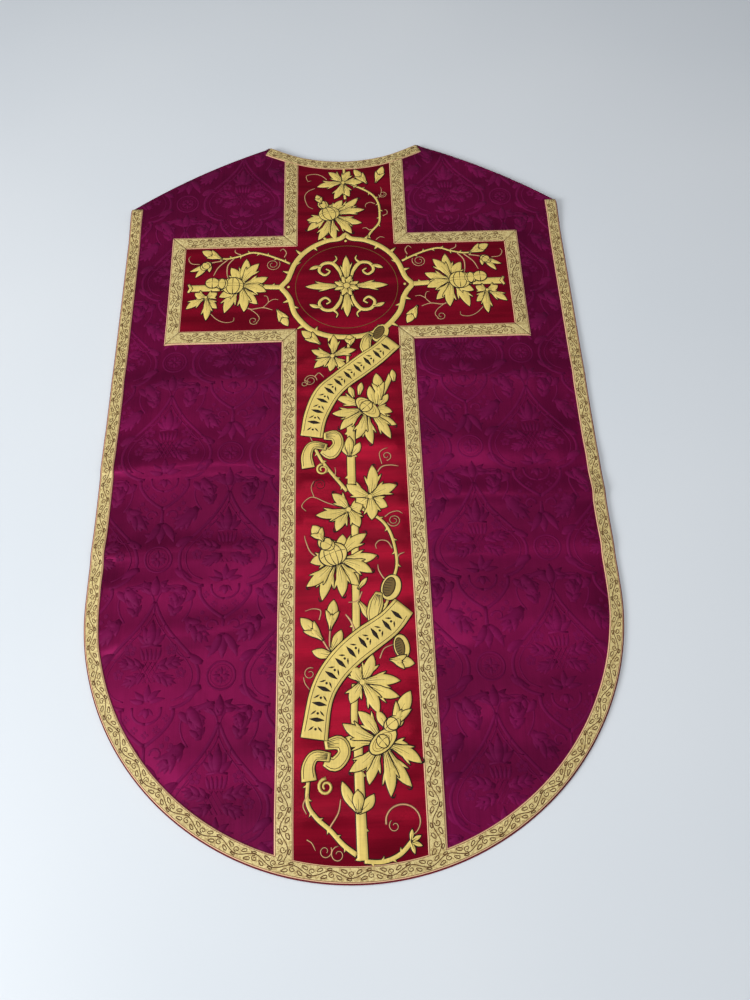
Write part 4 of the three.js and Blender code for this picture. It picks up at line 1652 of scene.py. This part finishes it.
def lower_scroll():
    """The great flower at the fold and the lower scroll."""
    w = Web()
    stem(w, [(3, -130), (2, -180), (2, -230), (1, -282)], 9.5, 0.0, 30)
    stem(w, [(12, -108), (37, -125), (50, -145), (56, -170), (57, -192), (50, -215), (44, -236), (36, -256)],
         4.2, 0.1, 18, 0.8)
    coil(w, (56, -128), 9.5, 200, 1.7)
    tendril(w, [(44, -122), (52, -116), (62, -114), (68, -118)])
    tendril(w, [(52, -168), (46, -158), (36, -156), (30, -162), (31, -168)], 1.8)
    tendril(w, [(57, -190), (60, -178), (68, -174)], 2)
    tendril(w, [(50, -215), (40, -210), (33, -198), (32, -190)], 2)
    tendril(w, [(10, -226), (4, -238), (-8, -240)], 1.8)
    tendril(w, [(-49, -177), (-58, -168), (-64, -152), (-65, -146)], 1.8)
    tendril(w, [(-1, -276), (-6, -264), (-12, -256)], 3)
    leaf(w, (5, -222), (17, -208), 6, 0, 0.2)
    leaf(w, (6, -240), (16, -262), 9, 3, 0.2)
    flower(w, (-22, -180), [(-14, -146), (18, -146), (31, -177), (24, -201), (6, -217), (-16, -232),
                            (-42, -236), (-62, -217), (-57, -184)], 19, 0.3, inner=6,
           hooks=(1, 2, 3, 5, 6, 7))
    globe(w, (-27, -174), (19, 16), 20, 1.0, 4, 1)
    globe(w, (-36, -159), (12, 9), -30, 1.3, 2, 1)
    bud(w, (-40, -154), (-54, -133), 15, 1.6)
    turned_back(w, (48, -222), (13, 18), -20, 0.3)
    fold_end(w, [(32, -228), (28, -242), (24, -256), (22, -270)], [8, 19, 18, 8], 0.45)
    ribbon(w, [(70, -261), (50, -286), (4, -320), (-20, -345), (-33, -372), (-38, -415)],
           [(57, -234), (34, -256), (-2, -279), (-35, -310), (-55, -345), (-68, -402)], 1.0)
    turned_back(w, (58, -300), (10, 16), 10, 0.2)
    bud(w, (43, -316), (73, -322), 14, 0.5)
    tendril(w, [(30, -314), (36, -302), (48, -297)], 1.6)
    bud(w, (-42, -288), (-70, -259), 15, 0.4)
    bud(w, (-32, -275), (-27, -236), 14, 0.5)
    tendril(w, [(-32, -275), (-33, -290), (-32, -304)], 2.4)
    tendril(w, [(-42, -288), (-35, -300), (-30, -306)], 2.4)
    tendril(w, [(-46, -262), (-44, -250), (-54, -247), (-64, -250)], 1.6)
    leaf(w, (-31, -302), (-18, -276), 13, -2, 0.5, 2)
    leaf(w, (-28, -308), (-55, -302), 13, 2, 0.5, 2)
    coil(w, (-58, -330), 8, 60, 1.2)
    tendril(w, [(-66, -334), (-64, -342), (-58, -350)], 1.3)
    stem(w, [(-2, -345), (-4, -380), (-3, -400)], 8, 0.0)
    flower(w, (7, -343), [(21, -309), (54, -343), (52, -362), (26, -381), (-8, -368), (-5, -322)], 18, 0.5,
           3.4,
           hooks=(3,))
    leaf(w, (12, -340), (-12, -333), 6, 0, 0.4)
    return w


def foot_spray():
    """The last flower, the scroll's tail and the roots of the stems."""
    w = Web()
    stem(w, [(0, -400), (0, -440), (1, -490), (2, -543)], 10, 0.0, 30, 1.25)
    lily(w, (-1, -492), (-20, -458), (17, -473), (-2, -468), 20, 0.3)
    stem(w, [(-60, -452), (-61, -480), (-50, -497), (-35, -510), (-20, -526), (-5, -537)], 4, 0.05, 14, 1.4)
    tendril(w, [(-35, -507), (-25, -492), (-22, -477)], 2.2)
    tendril(w, [(-60, -470), (-66, -482), (-62, -492)], 1.8)
    fold_end(w, [(-40, -416), (-22, -414), (-17, -426), (-28, -438), (-40, -434)], [10, 16, 15, 17, 12], 0.7)
    fold_end(w, [(-34, -430), (-52, -428), (-60, -440), (-59, -456)], [10, 12, 15, 18], 1.0)
    coil(w, (-39, -463), 9.5, 90, 1.4, 1, 4.2, 0.9, "gold_silk")
    flower(w, (30, -415), [(1, -378), (-18, -392), (-25, -415), (-11, -447), (12, -462), (37, -476),
                           (62, -466), (75, -440), (63, -422)], 18, 0.3, inner=8, hooks=(2, 3, 5, 6, 7))
    leaf(w, (36, -400), (24, -378), 11, 0, 0.7)
    leaf(w, (42, -400), (56, -386), 11, 0, 0.7)
    bud(w, (42, -400), (66, -356), 17, 0.8)
    globe(w, (42, -394), (11, 8), 35, 1.3, 2, 1)
    tilted_disc(w, (30, -414), (20, 11), 40, 1.1)
    globe(w, (30, -414), (7, 8), 40, 1.5, 1, 1)
    coil(w, (-26, -536), 9, 90, 1.2)
    coil(w, (-41, -532), 8, 30, 1.2, -1)
    tendril(w, [(-62, -519), (-56, -523), (-52, -531)], 1.3)
    a = np.radians(np.linspace(190, -60, 12))
    tendril(w, np.c_[50 + 20 * np.cos(a), -503 + 18 * np.sin(a)], 2.2)
    coil(w, (40, -508), 7, 120, 1.1, 1, 1.3)
    stem(w, [(4, -544), (25, -545), (45, -538), (60, -524)], 4.4, 0.1, 12, 1.2)
    for tip in ((60, -512), (70, -519), (71, -530), (62, -538)):
        leaf(w, (58, -525), tip, 5, 0, 0.2)
    return w


def embroider():
    base = Z["back", "trim"][1] - 0.2
    for name, web, bend in (
        ("embroidery_top", top_spray(), upper),
        ("embroidery_medallion", medallion(), upper),
        ("embroidery_scroll_upper", upper_scroll(), lambda p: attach(p, "back_panel")),
        ("embroidery_scroll_lower", lower_scroll(), lower),
        ("embroidery_foot", foot_spray(), lower),
    ):
        piece = place(web, name, base)
        bend(piece)
    for side, name in ((1, "left"), (-1, "right")):
        web = arm_spray()
        if side < 0:
            web.mirror()
        piece = place(web, f"embroidery_arm_{name}", base + PROUD)
        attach(piece, "back_panel")


# ---- the damask's woven figure: ogees in a half-drop repeat ----

REPEAT_Y = 310.0
FIRST_X = 79.0  # the first column beside the centre line
FIRST_Y = -10.0  # middle of an ogee on that column
FIGURE_RISE = 0.13  # of the figure over the ground
BEND_RISE = 0.2  # more of it where the cloth turns
STACK = 0.012  # rise from one woven shape to the next, so that no two lie in one plane


def lobed(w, base, tip, width):
    """A leaf with a lobe to each side, twice."""
    base, tip = xy(base, tip)
    way = unit(tip - base)
    side = np.array((-way[1], way[0]))
    size = float(np.linalg.norm(tip - base))
    shape(w, base, tip, width * 0.62)
    for at, reach, out in ((0.12, 0.3, 0.62), (0.34, 0.42, 0.66), (0.58, 0.3, 0.4)):
        for sign in (1, -1):
            root = base + way * size * at
            end = root + way * size * reach + side * sign * width * out
            shape(w, root, end, width * 0.36)


def shape(w, base, tip, width, bend=0.0):
    """A plain pointed leaf of the figure."""
    base, tip = xy(base, tip)
    way = unit(tip - base)
    side = np.array((-way[1], way[0]))
    line = bezier(base, (base + tip) / 2 + side * bend, tip, steps=6)
    wide = 1.35 * width * np.array([0.5, 0.8, 1.0, 0.98, 0.78, 0.44, 0.05])
    w.woven(line, wide)


def rosette(w, centre, radius, leaves=5):
    for k in range(leaves):
        a = 2 * PI * k / leaves + PI / 2
        at = (centre[0] + radius * 0.62 * math.cos(a), centre[1] + radius * 0.62 * math.sin(a))
        w.dot(at, radius * 0.4, 7)


ROUNDEL_Y = -163  # middle of the roundel between two ogees


def damask_tile():
    """One ogee with its vase, palmettes and flowers, and the roundel below it, about the ogee's middle."""
    w = Web()

    def line(points, width):
        for sign in (1, -1):
            run = smooth_line(np.array(points) * (sign, 1), 5)
            w.woven(run, width)

    def pair(draw, base, tip, *rest):
        for sign in (1, -1):
            draw(w, (base[0] * sign, base[1]), (tip[0] * sign, tip[1]), *rest)

    line([(0, 90), (9, 70), (22, 50), (38, 32), (54, 14), (62, -4), (60, -22), (52, -36), (38, -44),
          (28, -46)], 4.4)
    line([(0, 74), (7, 60), (18, 45), (33, 27), (47, 10), (54, -5), (51, -20), (43, -31), (30, -37)], 1.8)
    line([(0, 74), (2, 92), (8, 103), (22, 110), (37, 107), (47, 92), (45, 76), (37, 62)], 2.6)
    line([(33, -46), (32, -58), (22, -73), (9, -84), (0, -90)], 4.6)
    line([(18, -44), (17, -54), (9, -62), (0, -64)], 3.2)
    line([(16, 60), (14, 50), (20, 42), (30, 40)], 1.8)
    line([(30, 33), (33, 22), (42, 16), (50, 16)], 1.8)
    for x, y in ((0, -77), (14, -71), (-14, -71), (25, -58), (-25, -58)):
        rosette(w, (x, y), 5.0, 4)
    for sign in (1, -1):
        a = np.linspace(0, 3.4 * PI / 2, 9)
        r = 8.5 * (1 - 0.6 * a / a[-1])
        curl = np.c_[sign * (15 - r * np.cos(a)), -100 + r * np.sin(a)]
        w.woven(curl, np.linspace(3.4, 2.2, 9))
        rosette(w, (26 * sign, 27), 8.0)
        rosette(w, (39 * sign, -3), 7.0)
        for x, y in ((28, -82), (22, -90), (33, -90)):
            w.dot((x * sign, y), 3.1, 8)
    w.woven([(0, -86), (0, -100), (0, -114)], [5, 4, 6])
    shape(w, (0, -110), (0, -142), 10)
    pair(shape, (3, -112), (19, -140), 8, 4)
    pair(shape, (12, -130), (22, -126), 5)
    a = np.linspace(0, 2 * PI, 21)[:-1]
    for radius, width in ((17.5, 2.8), (13.5, 1.0)):
        w.woven(np.c_[radius * np.cos(a), ROUNDEL_Y + radius * np.sin(a)], width,
                 closed=True)
    for x, y in ((1, 0), (-1, 0), (0, 1), (0, -1)):
        shape(w, (x * 1.5, ROUNDEL_Y + y * 1.5), (x * 11, ROUNDEL_Y + y * 11), 3.6)
        w.dot((x * 7 + y * 4, ROUNDEL_Y + y * 7 + x * 4), 2.0, 6)
        w.dot((x * 7 - y * 4, ROUNDEL_Y + y * 7 - x * 4), 2.0, 6)
    shape(w, (0, -212), (0, -186), 9)
    pair(shape, (2, -210), (16, -192), 8, 4)
    pair(shape, (8, -206), (20, -204), 5)
    pair(lobed, (24, 70), (30, 104), 16)
    pair(lobed, (42, 66), (72, 34), 18)
    pair(lobed, (52, -46), (70, -72), 15)
    pair(shape, (40, -52), (52, -66), 7, 3)
    pair(shape, (24, -146), (44, -132), 8, 4)
    pair(shape, (24, -176), (46, -190), 8, -4)
    pair(shape, (6, -196), (34, -208), 5, -4)
    for tip, width in (((0, 66), 9), ((11, 58), 7), ((-11, 58), 7), ((18, 46), 6), ((-18, 46), 6)):
        shape(w, (tip[0] * 0.2, 33), tip, width)
    w.woven([(-13, 31), (0, 33), (13, 31)], 3)
    for k in range(-2, 3):
        shape(w, (k * 4.2, 14), (k * 6.4, 29), 3.4)
    pair(lobed, (8, 6), (42, 13), 13)
    pair(lobed, (6, -4), (34, -16), 12)
    for k in (-2, -1, 0, 1, 2):
        w.woven([(k * 6 - 8, -14), (k * 6 + 8, 12)], 1.1)
        w.woven([(k * 6 + 8, -14), (k * 6 - 8, 12)], 1.1)
    shape(w, (0, -38), (0, -16), 7)
    pair(shape, (2, -36), (16, -24), 6, 3)
    pair(shape, (4, -38), (22, -34), 5, 2)
    shape(w, (0, -46), (0, -58), 6)
    pair(shape, (1, -46), (9, -54), 4)
    return w


def figure(tile, panel, covered):
    """Copies of the tile over a panel. Shapes that cross the limit are drawn in to it, under the trim.

    covered says which points another piece hides. The shapes are gathered into an upper and a lower web.
    """
    webs = {"upper": Web(), "lower": Web()}
    limit = resampled(panel_outline(*panel, LIP + 7, 7, 4.6), 14)
    points = tile.array()
    low, high = limit.min(0), limit.max(0)
    columns = [(sign * (FIRST_X + 90 * k), FIRST_Y + (REPEAT_Y / 2 if k % 2 else 0))
               for k in range(4) for sign in (1, -1)]
    for cx, cy in columns:
        for k in range(-3, 4):
            p = points + (cx, cy + k * REPEAT_Y, 0)
            if p[:, 1].max() < low[1] or p[:, 1].min() > high[1]:
                continue
            gap, spot = nearest(limit, p[:, 0], p[:, 1])
            out = gap > 0
            hidden = covered(p[:, 0], p[:, 1])
            p[:, :2] = np.where(out[:, None], spot, p[:, :2])
            for v, nv, f, nf in tile.spans:
                here = slice(v, v + nv)
                if out[here].all() or hidden[here].all():
                    continue
                web = webs["upper" if p[here, 1].mean() > SPLIT_Y else "lower"]
                raised = p[here]
                raised[:, 2] += STACK * (f // 7 % 12) + BEND_RISE * turning(raised[:, 1])
                web.shape(raised, [tuple(i - v for i in face) for face in tile.faces[f: f + nf]],
                          tile.inks[f: f + nf], tile.smooth[f: f + nf])
    return webs


def turning(y):
    """1 where the cloth turns at a fold, and 0 away from it."""
    share = 0
    for hinge in (LIFT_Y, FOLD_Y):
        share = share + eased((hinge + 8 - y) / 8) * eased((y - hinge + BEND + 8) / 8)
    return share


def under_pillar(x, y):
    return np.abs(x) < PILLAR_HALF - 4


def under_cross(x, y):
    arms = (np.abs(x) < ARM_REACH - 5) & (y > ARM_BOTTOM + 5) & (y < ARM_TOP - 5)
    return under_pillar(x, y) | arms


def damask_figures():
    tile = damask_tile()
    webs = figure(tile, BACK, under_cross)
    for end, bend in (("upper", upper), ("lower", lower)):
        piece = place(webs[end], f"back_damask_figure_{end}", Z["back", "damask"][1] + FIGURE_RISE)
        bend(piece)
    webs = figure(tile, FRONT, under_pillar)
    for end, web in webs.items():
        piece = place(web, f"front_damask_figure_{end}", Z["front", "damask"][0] - FIGURE_RISE,
                      flat, down=True)
        fronted(piece)


# ---- floor and light ----


FLOOR = 30.0  # half its side, in metres
FLOOR_Z = -0.0006


def make_room():
    data = bpy.data.meshes.new("floor")
    corners = [(-FLOOR, -FLOOR), (FLOOR, -FLOOR), (FLOOR, FLOOR), (-FLOOR, FLOOR)]
    data.from_pydata([(x, y, FLOOR_Z) for x, y in corners], [], [(0, 1, 2, 3)])
    layer = data.uv_layers.new(name="cloth")
    layer.uv.foreach_set("vector", np.array(corners, np.float32).ravel())
    floor = bpy.data.objects.new("floor", data)
    bpy.context.scene.collection.objects.link(floor)
    s = Shader("table_top")
    grain = s.noise(300, 300, detail=3)
    broad = s.noise(1.5, 1.5, detail=2)
    colour = s.ramp(broad, (0.3, srgb(214, 220, 226)), (0.7, srgb(220, 225, 230)))
    rough = s.sum("MULTIPLY_ADD", grain, 0.1, 0.5)
    data.materials.append(s.finish(colour, rough, grain, 0.05, 0.0001, Specular_IOR_Level=0.3))


def lamp(name, at, towards, size, power, colour=(1, 1, 1)):
    data = bpy.data.lights.new(name, "AREA")
    data.shape = "RECTANGLE"
    data.size = size[0]
    data.size_y = size[1]
    data.energy = power
    data.color = colour
    made = bpy.data.objects.new(name, data)
    made.location = at
    way = Vector(towards) - Vector(at)
    made.rotation_euler = way.to_track_quat("-Z", "Y").to_euler()
    bpy.context.scene.collection.objects.link(made)


def make_lights():
    lamp("ceiling", (-0.25, 0.35, 2.2), (0, -0.1, 0), (1.2, 0.8), 16, (1.0, 0.99, 0.97))
    lamp("window", (-2.4, -1.5, 1.7), (0, -0.2, 0), (1.2, 1.2), 96, (0.97, 0.99, 1.0))
    lamp("fill", (1.8, -0.9, 2.2), (0, -0.1, 0), (1.5, 1.5), 10, (0.97, 0.98, 1.0))
    world = bpy.data.worlds.new("room")
    world.use_nodes = True
    background = world.node_tree.nodes["Background"]
    background.inputs["Color"].default_value = (0.95, 0.96, 1.0, 1)
    background.inputs["Strength"].default_value = 0.22
    bpy.context.scene.world = world


back_cloth()
front_cloth()
shoulder_folds()
orphreys()
back_braids()
edge_braids()
front_braids()
embroider()
damask_figures()
make_room()
make_lights()
